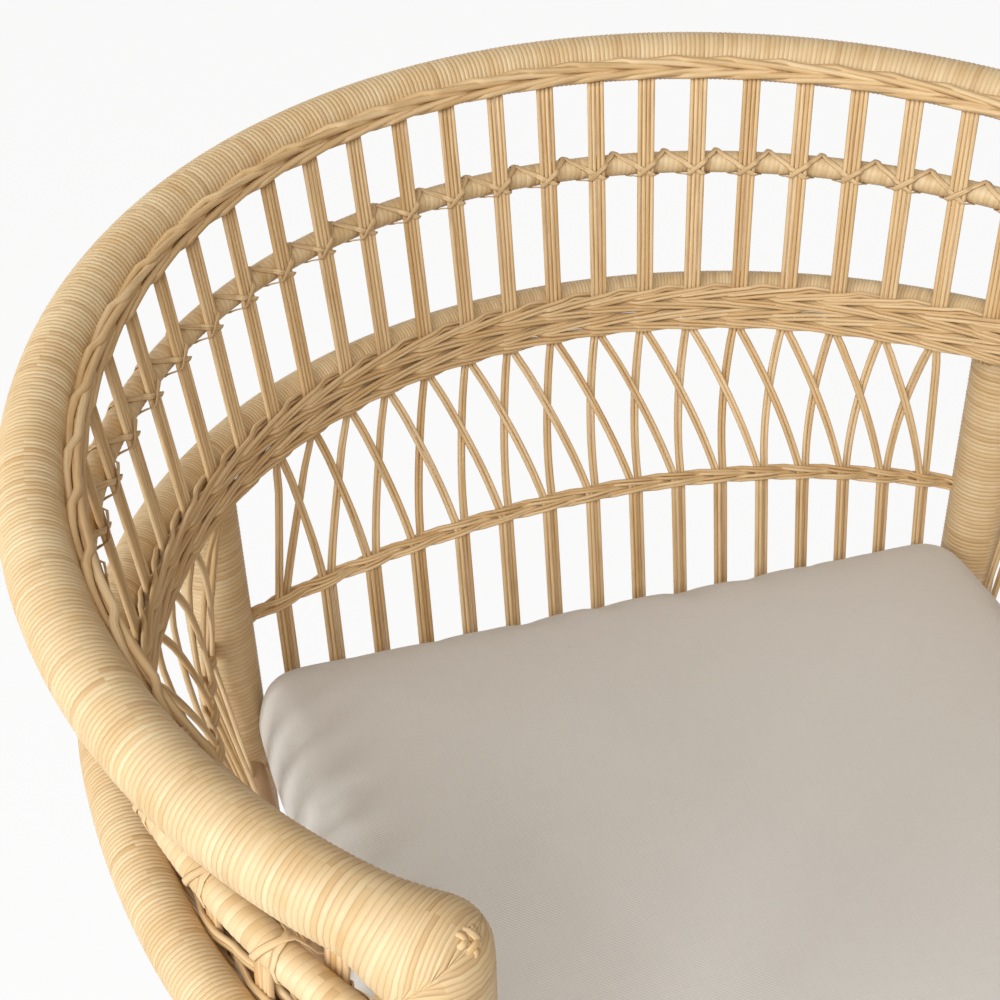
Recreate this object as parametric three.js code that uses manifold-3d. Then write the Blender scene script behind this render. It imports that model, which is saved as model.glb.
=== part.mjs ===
// A rattan tub chair with a loose seat cushion, in millimetres, +Z up, facing -Y.
// A bent top rim runs round the back into the arms and meets a front upright at each end. Bundles of
// thin cane, the stakes, hang from the rim to a mid ring, open below it into a crossed lattice, close
// again at a lower twine and stand on the rails of the seat frame.
import * as THREE from "three";
import { mergeVertices } from "three/addons/utils/BufferGeometryUtils.js";
import Module from "manifold-3d";

const wasm = await Module();
wasm.setup();

const DEGREE = Math.PI / 180;
const CLEARANCE = 0.3; // between neighbouring pieces
const NEARBY = 1e-3; // step along a curve for its direction
const EXACT = 1e-4; // how closely a place is searched, and how far apart merged corners lie

// Top rim: a circle in plan, open at the front, that falls towards the arms
const RIM_RADIUS = 355.5;
const RIM_END_ANGLE = 136.4 * DEGREE; // from the back centre to the arm front
const RIM_RISE = 75; // its centre above the mid band, at the arm fronts
const RIM_FALL = 77; // from the back to the arm fronts
const RIM_POLE_RADIUS = 15;
const UPRIGHT_RADIUS = 20;

// Mid ring and the band of twining inside it: an ellipse in plan, level
const BAND_SIDE_INSET = 9.5; // how far the wall leans in between the rim and the band, at the arms
const BAND_BACK_INSET = 16; // and at the back
const BAND_DEPTH_GAIN = 9.5; // half depth of the ellipse over the radius of the stakes at the rim
const BAND_HEIGHT = 32;
const BAND_THICKNESS = 5;
const RING_POLE_RADIUS = 12;
const RING_DROP = 9; // its centre below the top of the band
const ARM_FLARE = 12.2; // how far ring and wall swing out to pass outside the front uprights
const ARM_FLARE_START = 95 * DEGREE;
const ARM_FLARE_SPAN = 40 * DEGREE;
const ARM_LEAN_ROOM = 0.1; // how far the stakes' tops draw in for each mm of flare, to clear the rim

// Cross rail outside the stakes, and the twine under the rim
const CROSS_RAIL_RADIUS = 7.2;
const CROSS_RAIL_DROP = 0.44; // share of the way from the rim twine down to the band, at the back
const CROSS_RAIL_FALL = 0.17; // further share at the arm fronts
const CROSS_RAIL_FALL_POWER = 6;
const CROSS_RAIL_OVERRUN = 0.9; // past the last stake, in stakes, where it is coped to the upright
const RIM_TWINE_HEIGHT = 14;
const RIM_TWINE_THICKNESS = 4;
const RIM_TWINE_DROP = 3; // below the centre of the rim

// Stakes: bundles of cane, each bundle as one strip above the band and two below it
const STAKES_PER_SIDE = 21;
const STAKE_WIDTH = 10.8;
const STAKE_THICKNESS = 2.7;
const FOOT_DEPTH = 4; // below the top of the seat rails, where the feet are coped to them
const STAKE_SPREAD = 0.065; // how much wider the spacing grows towards the arm fronts
const RIM_STAKE_END_ANGLE = 128.3 * DEGREE;
const BAND_STAKE_END_ANGLE = 125.1 * DEGREE;
const BACK_STAKES_PER_SIDE = 8; // stakes between the back centre and a rear post

// Rear posts under the mid ring
const REAR_POST_RADIUS = 21;
const REAR_POST_ANGLE = 49.8 * DEGREE;
const REAR_POST_OUTSET = 16.7; // outside the centre of the mid ring
const REAR_POST_DROP = 10; // its top below the centre of the mid ring, which lies in it

// Lower twine: an arch between two posts, bowed out a little in plan
const LOWER_TWINE_RISE = 91; // of its ends above the seat rails
const LOWER_TWINE_ARCH = 45;
const LATTICE_RISE = 76; // from the top of the arch to the bottom of the mid band
const LOWER_TWINE_HEIGHT = 10;
const LOWER_TWINE_THICKNESS = 4;
const LOWER_TWINE_SLACK = 1.4; // where it bridges the bend of the wall
const BACK_TWINE_OUTSET = 6.4;
const BACK_TWINE_BOW = 15;
const SIDE_TWINE_OUTSET = 7;
const SIDE_TWINE_BOW = 25;
const BACK_STAKE_MARGIN = 42.6; // from a rear post to its first lower bundle at the back
const SIDE_STAKE_MARGIN = 32; // from a post to its first lower bundle at a side

// Seat frame, slatted deck and cushion
const SEAT_RAIL_RADIUS = 14;
const SEAT_RAIL_TOP = 380;
const SLAT_COUNT = 7;
const SLAT_WIDTH = 36;
const SLAT_THICKNESS = 12;
const BATTEN_WIDTH = 24;
const BATTEN_THICKNESS = 14;
const BATTEN_OFFSET = 120; // each side of the middle of the deck
const DECK_SIDE_MARGIN = 36; // from the middle of a side rail at the front to the outer slat
const CUSHION_SIDE_GAP = 18; // from the middle of a side rail
const CUSHION_BACK_GAP = 6; // from the line of the rear posts
const CUSHION_CORNER = 66;
const CUSHION_EDGE_HEIGHT = 60; // of its sides
const CUSHION_EDGE_ROUND = 16; // how far the sides round in to the top and bottom
const CUSHION_EDGE_FULLNESS = 0.6; // power that makes the sides fuller than a half circle
const CUSHION_CROWN = 16;
const CUSHION_CROWN_SLOPE = 3; // power of the crown's rise from the edge
const CUSHION_DRAW_IN = 5; // how far each side pulls in between its corners

// Facets
const POLE_SIDES = 10;
const ROUND_SIDES = 16;
const RIM_STEPS = 54;
const BAND_STEPS = 54;
const TWINE_STEPS = 14;
const LATTICE_STEPS = 4;
const OUTLINE_POINTS = 56;
const CUSHION_SIDE_STEPS = 6;
const CUSHION_CROWN_STEPS = 6;

const wrappedPeel = new THREE.MeshStandardMaterial({ color: 0xdcc094, roughness: 0.5, metalness: 0 });
const cane = new THREE.MeshStandardMaterial({ color: 0xcfa973, roughness: 0.55, metalness: 0 });
const deckWood = new THREE.MeshStandardMaterial({ color: 0xb98d5c, roughness: 0.7, metalness: 0 });
const cotton = new THREE.MeshStandardMaterial({ color: 0xd6d0c6, roughness: 0.95, metalness: 0 });

const chair = new THREE.Group();

// Places that the pieces share
const lastStake = STAKES_PER_SIDE - 0.5;
const knuckleDrop = UPRIGHT_RADIUS - RIM_POLE_RADIUS; // of the rounded corner's centre below the rim's
const rimCentreY = (knuckleDrop - RIM_RADIUS * (1 + Math.cos(RIM_END_ANGLE))) / 2;
const rimStakeRadius = RIM_RADIUS - RIM_POLE_RADIUS - 2 * CLEARANCE - STAKE_THICKNESS / 2;
const bandHalfWidth = rimStakeRadius - BAND_SIDE_INSET;
const bandHalfDepth = rimStakeRadius + BAND_DEPTH_GAIN;
const bandCentreY = rimCentreY + rimStakeRadius - BAND_BACK_INSET - bandHalfDepth;
const lowerTwineEnd = SEAT_RAIL_TOP + LOWER_TWINE_RISE;
const bandBottom = lowerTwineEnd + LOWER_TWINE_ARCH + LATTICE_RISE;
const bandTop = bandBottom + BAND_HEIGHT;
const bandMiddle = bandBottom + BAND_HEIGHT / 2;
const ringHeight = bandTop - RING_DROP;
const postTop = ringHeight - REAR_POST_DROP;
const layer = STAKE_THICKNESS / 2 + CLEARANCE; // crossing canes pass this far each side of the wall
const layerFace = layer + STAKE_THICKNESS / 2;
const bendHeight = bandBottom - layerFace; // where the wall turns in below the band
const ringOutset = layerFace + CLEARANCE + RING_POLE_RADIUS;
const railMiddle = SEAT_RAIL_TOP - SEAT_RAIL_RADIUS;

function rimHeight(angle) {
  const u = Math.abs(angle) / RIM_END_ANGLE;
  return bandTop + RIM_RISE + RIM_FALL * (1 - u * u) ** 2;
}

function rimPlan(angle, radius) {
  return new THREE.Vector3(
    radius * Math.sin(angle),
    rimCentreY + radius * Math.cos(angle),
    rimHeight(angle),
  );
}

// How far the band swings out towards the arm fronts
function armFlare(angle) {
  const t = THREE.MathUtils.clamp((Math.abs(angle) - ARM_FLARE_START) / ARM_FLARE_SPAN, 0, 1);
  return ARM_FLARE * THREE.MathUtils.smoothstep(t, 0, 1);
}

// The point of the band's line at an angle, an ellipse with flared ends, moved outwards along its normal
function bandPlan(angle, outset, height) {
  const reach = outset + armFlare(angle);
  const normal = new THREE.Vector2(
    Math.sin(angle) / bandHalfWidth,
    Math.cos(angle) / bandHalfDepth,
  ).normalize();
  return new THREE.Vector3(
    bandHalfWidth * Math.sin(angle) + reach * normal.x,
    bandCentreY + bandHalfDepth * Math.cos(angle) + reach * normal.y,
    height,
  );
}

const upright = rimPlan(RIM_END_ANGLE, RIM_RADIUS);
const knuckle = upright.clone().setZ(upright.z - knuckleDrop);
const post = bandPlan(REAR_POST_ANGLE, ringOutset + REAR_POST_OUTSET, 0);
const bandEndAngle = nearestBandAngle(upright);

// The angle at which the band's ellipse passes closest to a point in plan
function nearestBandAngle(point) {
  let low = Math.PI / 2;
  let high = Math.PI;
  const gap = (angle) => {
    const p = bandPlan(angle, 0, 0);
    return Math.hypot(p.x - point.x, p.y - point.y);
  };
  while (high - low > EXACT) {
    const a = low + (high - low) / 3;
    const b = high - (high - low) / 3;
    if (gap(a) < gap(b)) high = b;
    else low = a;
  }
  return (low + high) / 2;
}

// Stakes are counted outwards from the back centre at 0.5, 1.5 and so on, with the left side negative
function stakeAngle(stake, endAngle) {
  const u = stake / lastStake;
  return endAngle * ((1 - STAKE_SPREAD) * u + STAKE_SPREAD * u ** 3);
}

function stakeTop(stake) {
  const angle = stakeAngle(stake, RIM_STAKE_END_ANGLE);
  return rimPlan(angle, rimStakeRadius - ARM_LEAN_ROOM * armFlare(angle));
}

function stakeAtBand(stake, height) {
  return bandPlan(stakeAngle(stake, BAND_STAKE_END_ANGLE), 0, height);
}

// The wall above the band: v runs from 0 at the rim to 1 at the band
function upperWall(stake, v) {
  return stakeTop(stake).lerp(stakeAtBand(stake, bandTop), v);
}

// Outward normal of the wall above the band
function upperNormal(stake) {
  const next = upperWall(stake + NEARBY, CROSS_RAIL_DROP);
  const across = next.sub(upperWall(stake - NEARBY, CROSS_RAIL_DROP));
  const down = upperWall(stake, 1).sub(upperWall(stake, 0));
  return across.cross(down).normalize();
}

const arch = (u) => 1 - (2 * u - 1) ** 2;
const sideLength = Math.hypot(post.x - upright.x, post.y - upright.y);
const sideAlong = new THREE.Vector3(upright.x - post.x, upright.y - post.y, 0).divideScalar(sideLength);
const sideOut = new THREE.Vector3(-sideAlong.y, sideAlong.x, 0);

// A point above the back rail or a side rail at share u of its length, moved out and up
function abovePanel(side, u, outset, height) {
  if (side === 0) return new THREE.Vector3(post.x * (2 * u - 1), post.y + outset, height);
  const p = new THREE.Vector3(post.x, post.y, height)
    .addScaledVector(sideAlong, u * sideLength)
    .addScaledVector(sideOut, outset);
  p.x *= side;
  return p;
}

function lowerTwinePlan(side, u) {
  const outset = side === 0 ? BACK_TWINE_OUTSET : SIDE_TWINE_OUTSET;
  const bow = side === 0 ? BACK_TWINE_BOW : SIDE_TWINE_BOW;
  return abovePanel(side, u, outset + bow * arch(u), lowerTwineEnd + LOWER_TWINE_ARCH * arch(u));
}

function panelSide(stake) {
  return Math.abs(stake) < BACK_STAKES_PER_SIDE ? 0 : Math.sign(stake);
}

// A panel's first and last lower bundle, and the share of its length from a post to either
function panelSpan(side) {
  const inner = BACK_STAKES_PER_SIDE - 0.5;
  if (side === 0) return { first: -inner, last: inner, margin: BACK_STAKE_MARGIN / (2 * post.x) };
  return { first: inner + 2, last: lastStake, margin: SIDE_STAKE_MARGIN / sideLength };
}

// The share of its panel's length at which a lower bundle stands
function panelShare(stake, side) {
  const { first, last, margin } = panelSpan(side);
  const place = side === 0 ? stake : Math.abs(stake);
  return margin + ((place - first) / (last - first)) * (1 - 2 * margin);
}

// The place, counted in stakes, that lies above a share of a panel's length
function stakeOver(side, u) {
  const { first, last, margin } = panelSpan(side);
  const place = first + ((u - margin) / (1 - 2 * margin)) * (last - first);
  return side < 0 ? -place : place;
}

// The wall below the band: v runs from 0 at the band to 1 at the lower twine and 2 in the seat rail
function lowerWall(stake, side, v) {
  const u = panelShare(stake, side);
  const twine = lowerTwinePlan(side, u);
  if (v <= 1) return stakeAtBand(stake, bendHeight).lerp(twine, v);
  return twine.lerp(abovePanel(side, u, 0, SEAT_RAIL_TOP - FOOT_DEPTH), v - 1);
}

// Closed surface through rings of equally many points, with flat ends
function loft(rings) {
  const count = rings[0].length;
  const positions = rings.flat().flatMap((p) => [p.x, p.y, p.z]);
  const index = [];
  for (let i = 0; i + 1 < rings.length; i++)
    for (let j = 0; j < count; j++) {
      const a = i * count + j;
      const b = i * count + ((j + 1) % count);
      index.push(a, b, a + count, b, b + count, a + count);
    }
  const last = (rings.length - 1) * count;
  for (let j = 1; j + 1 < count; j++) {
    index.push(0, j + 1, j);
    index.push(last, last + j, last + j + 1);
  }
  const geometry = new THREE.BufferGeometry();
  geometry.setAttribute("position", new THREE.Float32BufferAttribute(positions, 3));
  return geometry.setIndex(index);
}

// Rectangular ring round a point: half sizes along two directions
function rectangle(centre, across, halfAcross, deep, halfDeep) {
  return [[-1, -1], [1, -1], [1, 1], [-1, 1]].map(([a, d]) =>
    centre.clone().addScaledVector(across, a * halfAcross).addScaledVector(deep, d * halfDeep),
  );
}

// Strip of rectangular section along points: width lies in the wall, thickness along its normals
function strip(points, normals, width, thickness) {
  const rings = points.map((p, i) => {
    const before = points[Math.max(i - 1, 0)];
    const after = points[Math.min(i + 1, points.length - 1)];
    const along = after.clone().sub(before).normalize();
    const across = normals[i].clone().cross(along).normalize();
    const deep = along.clone().cross(across);
    return rectangle(p, across, width / 2, deep, thickness / 2);
  });
  return solidOf(loft(rings));
}

function solidOf(geometry) {
  const bare = geometry.clone();
  bare.deleteAttribute("normal");
  bare.deleteAttribute("uv");
  const merged = mergeVertices(bare, EXACT);
  return new wasm.Manifold(
    new wasm.Mesh({
      numProp: 3,
      vertProperties: new Float32Array(merged.attributes.position.array),
      triVerts: new Uint32Array(merged.index.array),
    }),
  );
}

function geometryOf(solid) {
  const mesh = solid.getMesh();
  const geometry = new THREE.BufferGeometry();
  geometry.setAttribute("position", new THREE.BufferAttribute(mesh.vertProperties, 3));
  geometry.setIndex(new THREE.BufferAttribute(mesh.triVerts, 1));
  geometry.computeVertexNormals();
  return geometry;
}

function addPiece(name, solid, material) {
  const mesh = new THREE.Mesh(geometryOf(solid), material.clone());
  mesh.name = name;
  chair.add(mesh);
}

class PlanCurve extends THREE.Curve {
  constructor(place) {
    super();
    this.place = place;
  }
  getPoint(t) {
    return this.place(t);
  }
}

function circle(radius) {
  return new THREE.Shape().absarc(0, 0, radius, 0, 2 * Math.PI);
}

// Round pole along a curve given as a function of t from 0 to 1
function pole(place, radius, steps, sides = POLE_SIDES) {
  const geometry = new THREE.ExtrudeGeometry(circle(radius), {
    steps,
    curveSegments: sides / 2,
    bevelEnabled: false,
    extrudePath: new PlanCurve(place),
  });
  return solidOf(geometry);
}

function straightPole(from, to, radius) {
  const length = from.distanceTo(to);
  const geometry = new THREE.CylinderGeometry(radius, radius, length, ROUND_SIDES);
  const turn = new THREE.Quaternion().setFromUnitVectors(
    new THREE.Vector3(0, 1, 0),
    to.clone().sub(from).normalize(),
  );
  geometry.applyQuaternion(turn);
  const middle = from.clone().add(to).divideScalar(2);
  return solidOf(geometry.translate(middle.x, middle.y, middle.z));
}

function ball(centre, radius) {
  const geometry = new THREE.SphereGeometry(radius, ROUND_SIDES, ROUND_SIDES / 2);
  return solidOf(geometry.translate(centre.x, centre.y, centre.z));
}

function block(x, y, z, width, depth, height) {
  return solidOf(new THREE.BoxGeometry(width, depth, height).translate(x, y, z));
}

const mirrored = (p, side) => new THREE.Vector3(side * p.x, p.y, p.z);
const standing = (p, side, top, radius) =>
  straightPole(mirrored(p, side).setZ(0), mirrored(p, side).setZ(top), radius);
const SIDES = [["left", -1], ["right", 1]];

// The room that a pole takes up, with the clearance round it, for coping its neighbours
const rimAt = (t) => rimPlan((2 * t - 1) * RIM_END_ANGLE, RIM_RADIUS);
function rimSolid(extra) {
  return SIDES.reduce(
    (solid, [, side]) => solid.add(ball(mirrored(knuckle, side), UPRIGHT_RADIUS + extra)),
    pole(rimAt, RIM_POLE_RADIUS + extra, RIM_STEPS),
  );
}
const rimRoom = rimSolid(CLEARANCE);
const ringAt = (t) => bandPlan((2 * t - 1) * bandEndAngle, ringOutset, ringHeight);
const uprightRoom = SIDES.map(([, side]) =>
  standing(upright, side, knuckle.z, UPRIGHT_RADIUS + CLEARANCE),
).reduce((a, b) => a.add(b));
const postRoom = SIDES.map(([, side]) =>
  standing(post, side, postTop, REAR_POST_RADIUS + CLEARANCE),
).reduce((a, b) => a.add(b));

function buildPoles() {
  const rim = rimSolid(0);
  const ringRoom = pole(ringAt, RING_POLE_RADIUS + CLEARANCE, BAND_STEPS);
  addPiece("top_rim", rim, wrappedPeel);
  const ring = pole(ringAt, RING_POLE_RADIUS, BAND_STEPS).subtract(uprightRoom);
  const frontFace = upright.y - UPRIGHT_RADIUS; // the ring's ends are cut level with the uprights
  addPiece("mid_ring", ring.trimByPlane([0, 1, 0], frontFace), wrappedPeel);
  for (const [label, side] of SIDES) {
    addPiece(
      `front_upright_${label}`,
      standing(upright, side, knuckle.z, UPRIGHT_RADIUS).subtract(rimRoom),
      wrappedPeel,
    );
    // A rear post's head is bevelled away from the ring, outwards and down
    const outwards = bandPlan(REAR_POST_ANGLE, 1, 0).sub(bandPlan(REAR_POST_ANGLE, 0, 0)).multiplyScalar(-1);
    const bevel = mirrored(outwards, side).setZ(-1).normalize();
    const ringPoint = mirrored(bandPlan(REAR_POST_ANGLE, ringOutset, ringHeight), side);
    const head = standing(post, side, postTop, REAR_POST_RADIUS).subtract(ringRoom);
    addPiece(`rear_post_${label}`, head.trimByPlane(bevel.toArray(), bevel.dot(ringPoint)), wrappedPeel);
  }
}

// The cross rail follows the stakes just outside them, from one upright to the other, and falls
// towards the arm fronts
function crossRailAt(t) {
  const stake = (2 * t - 1) * (lastStake + CROSS_RAIL_OVERRUN);
  const drop = CROSS_RAIL_DROP + CROSS_RAIL_FALL * (Math.abs(stake) / lastStake) ** CROSS_RAIL_FALL_POWER;
  const out = upperNormal(stake);
  const outset = STAKE_THICKNESS / 2 + 2 * CLEARANCE + CROSS_RAIL_RADIUS;
  return upperWall(stake, drop).addScaledVector(out, outset);
}

// Band of rectangular section: place gives its middle line, and rise the way its height points
function band(place, rise, steps, height, thickness) {
  const rings = [];
  for (let i = 0; i <= steps; i++) {
    const t = i / steps;
    const along = place(Math.min(t + NEARBY, 1)).sub(place(Math.max(t - NEARBY, 0))).normalize();
    const out = rise(t).cross(along).normalize();
    const up = along.clone().cross(out);
    rings.push(rectangle(place(t), out, thickness / 2, up, height / 2));
  }
  return solidOf(loft(rings));
}

function buildBands() {
  const twineInset = STAKE_THICKNESS / 2 + CLEARANCE + RIM_TWINE_THICKNESS / 2;
  const rimTwineAlong = (t) => (2 * t - 1) * (lastStake + 0.5);
  const rimTwineAt = (t) => {
    const stake = rimTwineAlong(t);
    const fall = RIM_TWINE_DROP / (stakeTop(stake).z - bandTop);
    return upperWall(stake, fall).addScaledVector(upperNormal(stake), -twineInset);
  };
  const wallRise = (t) => stakeTop(rimTwineAlong(t)).sub(upperWall(rimTwineAlong(t), 1));
  const bandInset = layerFace + 2 * CLEARANCE + BAND_THICKNESS / 2;
  const bandAt = (t) => bandPlan((2 * t - 1) * bandEndAngle, -bandInset, bandMiddle);
  const upwards = () => new THREE.Vector3(0, 0, 1);
  const rimTwine = band(rimTwineAt, wallRise, RIM_STEPS, RIM_TWINE_HEIGHT, RIM_TWINE_THICKNESS);
  const midBand = band(bandAt, upwards, BAND_STEPS, BAND_HEIGHT, BAND_THICKNESS);
  const rail = pole(crossRailAt, CROSS_RAIL_RADIUS, RIM_STEPS, POLE_SIDES - 2);
  addPiece("rim_twine", rimTwine.subtract(rimRoom), cane);
  addPiece("mid_band", midBand.subtract(uprightRoom), cane);
  addPiece("cross_rail", rail.subtract(uprightRoom), wrappedPeel);
}

function buildLowerTwines() {
  const inset = layerFace + LOWER_TWINE_SLACK + LOWER_TWINE_THICKNESS / 2;
  const foot = (side, u) => abovePanel(side, u, 0, SEAT_RAIL_TOP);
  for (const [label, side] of [["back", 0], ...SIDES]) {
    const rise = (t) => {
      const below = lowerTwinePlan(side, t).sub(foot(side, t)).normalize();
      const above = stakeAtBand(stakeOver(side, t), bendHeight).sub(lowerTwinePlan(side, t));
      return below.add(above.normalize());
    };
    const place = (t) => {
      const along = lowerTwinePlan(side, t + NEARBY).sub(lowerTwinePlan(side, t - NEARBY));
      const out = rise(t).cross(along).normalize();
      const inwards = side < 0 ? out : out.negate();
      return lowerTwinePlan(side, t).addScaledVector(inwards, inset);
    };
    const twine = band(place, rise, TWINE_STEPS, LOWER_TWINE_HEIGHT, LOWER_TWINE_THICKNESS);
    addPiece(`lower_twine_${label}`, twine.subtract(postRoom).subtract(uprightRoom), cane);
  }
}

// Outward normal of the wall below the band
function wallNormal(stake, side, v) {
  const across = lowerWall(stake + NEARBY, side, v).sub(lowerWall(stake - NEARBY, side, v));
  const next = v < 2 ? v + NEARBY : v;
  const down = lowerWall(stake, side, next).sub(lowerWall(stake, side, next - NEARBY));
  return across.cross(down).normalize();
}

// One pair of canes from the band to the seat rail. It crosses over to the next bundle, or runs
// straight down beside a post.
function canePair(stake, turn, straight) {
  const side = panelSide(stake);
  const towards = straight ? 0 : turn;
  const offset = (turn * STAKE_WIDTH) / 4 / panelPitch(side);
  const arrival = straight ? offset : -offset;
  const depth = (straight ? turn : -turn) * layer;
  const start = stakeAtBand(stake + offset, bandMiddle);
  const startNormal = bandPlan(stakeAngle(stake, BAND_STAKE_END_ANGLE), 1, 0).sub(stakeAtBand(stake, 0));
  const points = [start.addScaledVector(startNormal, depth)];
  const normals = [startNormal];
  for (let i = 0; i <= LATTICE_STEPS + 1; i++) {
    const v = i <= LATTICE_STEPS ? i / LATTICE_STEPS : 2;
    const share = v < 1 ? (v + Math.sin((v * Math.PI) / 2)) / 2 : 1;
    const place = stake + offset + share * (towards + arrival - offset);
    const normal = wallNormal(place, side, v);
    points.push(lowerWall(place, side, v).addScaledVector(normal, depth));
    normals.push(normal);
  }
  return strip(points, normals, STAKE_WIDTH / 2 - CLEARANCE / 2, STAKE_THICKNESS);
}

// Distance between neighbouring lower bundles
function panelPitch(side) {
  const length = side === 0 ? 2 * post.x : sideLength;
  return length * (panelShare(lastStake, side) - panelShare(lastStake - 1, side));
}

function upperStake(stake) {
  const normal = upperNormal(stake);
  const points = [upperWall(stake, 0), upperWall(stake, 1), stakeAtBand(stake, bendHeight)];
  return strip(points, [normal, normal, normal], STAKE_WIDTH, STAKE_THICKNESS);
}

function buildStakes() {
  const atPost = BACK_STAKES_PER_SIDE + 0.5;
  for (const [label, side] of SIDES)
    for (let i = 0; i < STAKES_PER_SIDE; i++) {
      const stake = side * (i + 0.5);
      let solid = upperStake(stake);
      if (Math.abs(stake) !== atPost)
        for (const turn of [-1, 1]) {
          const next = Math.abs(stake + turn);
          const straight = next === atPost || next > lastStake;
          solid = solid.add(canePair(stake, turn, straight).subtract(railRoom));
        }
      addPiece(`stake_${label}_${String(i + 1).padStart(2, "0")}`, solid, cane);
    }
}

const railCorner = (p, side) => mirrored(p, side).setZ(railMiddle);
const rails = [
  ["seat_rail_back", railCorner(post, -1), railCorner(post, 1)],
  ["seat_rail_front", railCorner(upright, -1), railCorner(upright, 1)],
  ["seat_rail_left", railCorner(post, -1), railCorner(upright, -1)],
  ["seat_rail_right", railCorner(post, 1), railCorner(upright, 1)],
];
const railSolid = ([, from, to], extra) => straightPole(from, to, SEAT_RAIL_RADIUS + extra);
const railRoom = rails.map((rail) => railSolid(rail, CLEARANCE)).reduce((a, b) => a.add(b));

function buildSeatFrame() {
  const [back, front, left, right] = rails;
  const crossRoom = railSolid(back, CLEARANCE).add(railSolid(front, CLEARANCE));
  for (const rail of [back, front, left, right]) {
    const coped = railSolid(rail, 0).subtract(postRoom).subtract(uprightRoom);
    const beside = rail === left || rail === right;
    addPiece(rail[0], beside ? coped.subtract(crossRoom) : coped, wrappedPeel);
  }
  const length = post.y - upright.y - SEAT_RAIL_RADIUS; // the ends lie on the rails' shoulders
  const middleY = (post.y + upright.y) / 2;
  const halfSpan = upright.x - DECK_SIDE_MARGIN - SLAT_WIDTH / 2;
  const slatMiddle = SEAT_RAIL_TOP - SLAT_THICKNESS / 2;
  const battenMiddle = SEAT_RAIL_TOP - SLAT_THICKNESS - BATTEN_THICKNESS / 2;
  const slats = Array.from({ length: SLAT_COUNT }, (_, i) => {
    const x = halfSpan * ((2 * i) / (SLAT_COUNT - 1) - 1);
    return block(x, middleY, slatMiddle, SLAT_WIDTH, length, SLAT_THICKNESS);
  });
  const battens = [-1, 1].map((end) =>
    block(0, middleY + end * BATTEN_OFFSET, battenMiddle, 2 * halfSpan, BATTEN_WIDTH, BATTEN_THICKNESS),
  );
  const deck = [...slats, ...battens].reduce((a, b) => a.add(b)).subtract(railRoom);
  addPiece("seat_deck", deck, deckWood);
}

// Cushion outline: a box with round corners that narrows towards the front, as the seat frame does.
// It is followed by angle, with each side pulled in between its corners.
function cushionOutline(shrink, height) {
  const back = post.y - CUSHION_BACK_GAP;
  const front = upright.y; // over the middle of the front rail
  const halfDepth = (back - front) / 2;
  const sideAt = (y) => {
    const u = (post.y - y) / (post.y - upright.y);
    return post.x + u * (upright.x - post.x) - CUSHION_SIDE_GAP;
  };
  const halfWidth = sideAt((back + front) / 2);
  return Array.from({ length: OUTLINE_POINTS }, (_, j) => {
    const angle = (2 * Math.PI * j) / OUTLINE_POINTS;
    const flat = roundedBox(angle, halfWidth, halfDepth, CUSHION_CORNER);
    const pull = CUSHION_DRAW_IN * Math.cos(2 * angle) ** 2;
    const reach = flat.length();
    flat.multiplyScalar((reach - pull - shrink) / reach);
    const y = (back + front) / 2 + flat.y;
    return new THREE.Vector3((flat.x * sideAt(y)) / halfWidth, y, height);
  });
}

// Where a ray from the middle leaves a rounded box
function roundedBox(angle, halfWidth, halfDepth, corner) {
  const along = new THREE.Vector2(Math.cos(angle), Math.sin(angle));
  let low = 0;
  let high = halfWidth + halfDepth;
  while (high - low > EXACT) {
    const reach = (low + high) / 2;
    const x = Math.max(Math.abs(along.x * reach) - halfWidth + corner, 0);
    const y = Math.max(Math.abs(along.y * reach) - halfDepth + corner, 0);
    if (Math.hypot(x, y) < corner) low = reach;
    else high = reach;
  }
  return along.multiplyScalar(low);
}

function buildCushion() {
  const bottom = SEAT_RAIL_TOP + CLEARANCE;
  const half = CUSHION_EDGE_HEIGHT / 2;
  const rings = [];
  for (let i = 0; i <= CUSHION_SIDE_STEPS; i++) {
    const turn = Math.PI * (i / CUSHION_SIDE_STEPS - 0.5);
    const out = Math.max(Math.cos(turn), 0) ** CUSHION_EDGE_FULLNESS;
    const rise = Math.sign(turn) * Math.abs(Math.sin(turn)) ** CUSHION_EDGE_FULLNESS;
    rings.push(cushionOutline(CUSHION_EDGE_ROUND * (1 - out), bottom + half * (1 + rise)));
  }
  for (let i = 1; i < CUSHION_CROWN_STEPS; i++) {
    const share = i / CUSHION_CROWN_STEPS;
    const rise = CUSHION_CROWN * (1 - (1 - share) ** CUSHION_CROWN_SLOPE);
    const ring = cushionOutline(CUSHION_EDGE_ROUND, bottom + CUSHION_EDGE_HEIGHT + rise);
    const middle = ring.reduce((sum, p) => sum.add(p), new THREE.Vector3()).divideScalar(ring.length);
    rings.push(ring.map((p) => p.lerp(middle, share)));
  }
  addPiece("seat_cushion", solidOf(loft(rings)), cotton);
}

buildPoles();
buildBands();
buildLowerTwines();
buildStakes();
buildSeatFrame();
buildCushion();

export default chair;
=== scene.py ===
"""A rattan tub chair with a loose seat cushion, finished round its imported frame.

ChairPlan describes the chair's curves and wall surfaces once. Every wound pole, cane, twined row and lashing
follows them, so each piece stays where its solid is.
"""
import logging
import math
from dataclasses import dataclass, replace
from enum import Enum
from functools import partial
from typing import Callable, Sequence

import bmesh
import bpy
import numpy as np
from mathutils import Matrix, Vector


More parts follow.
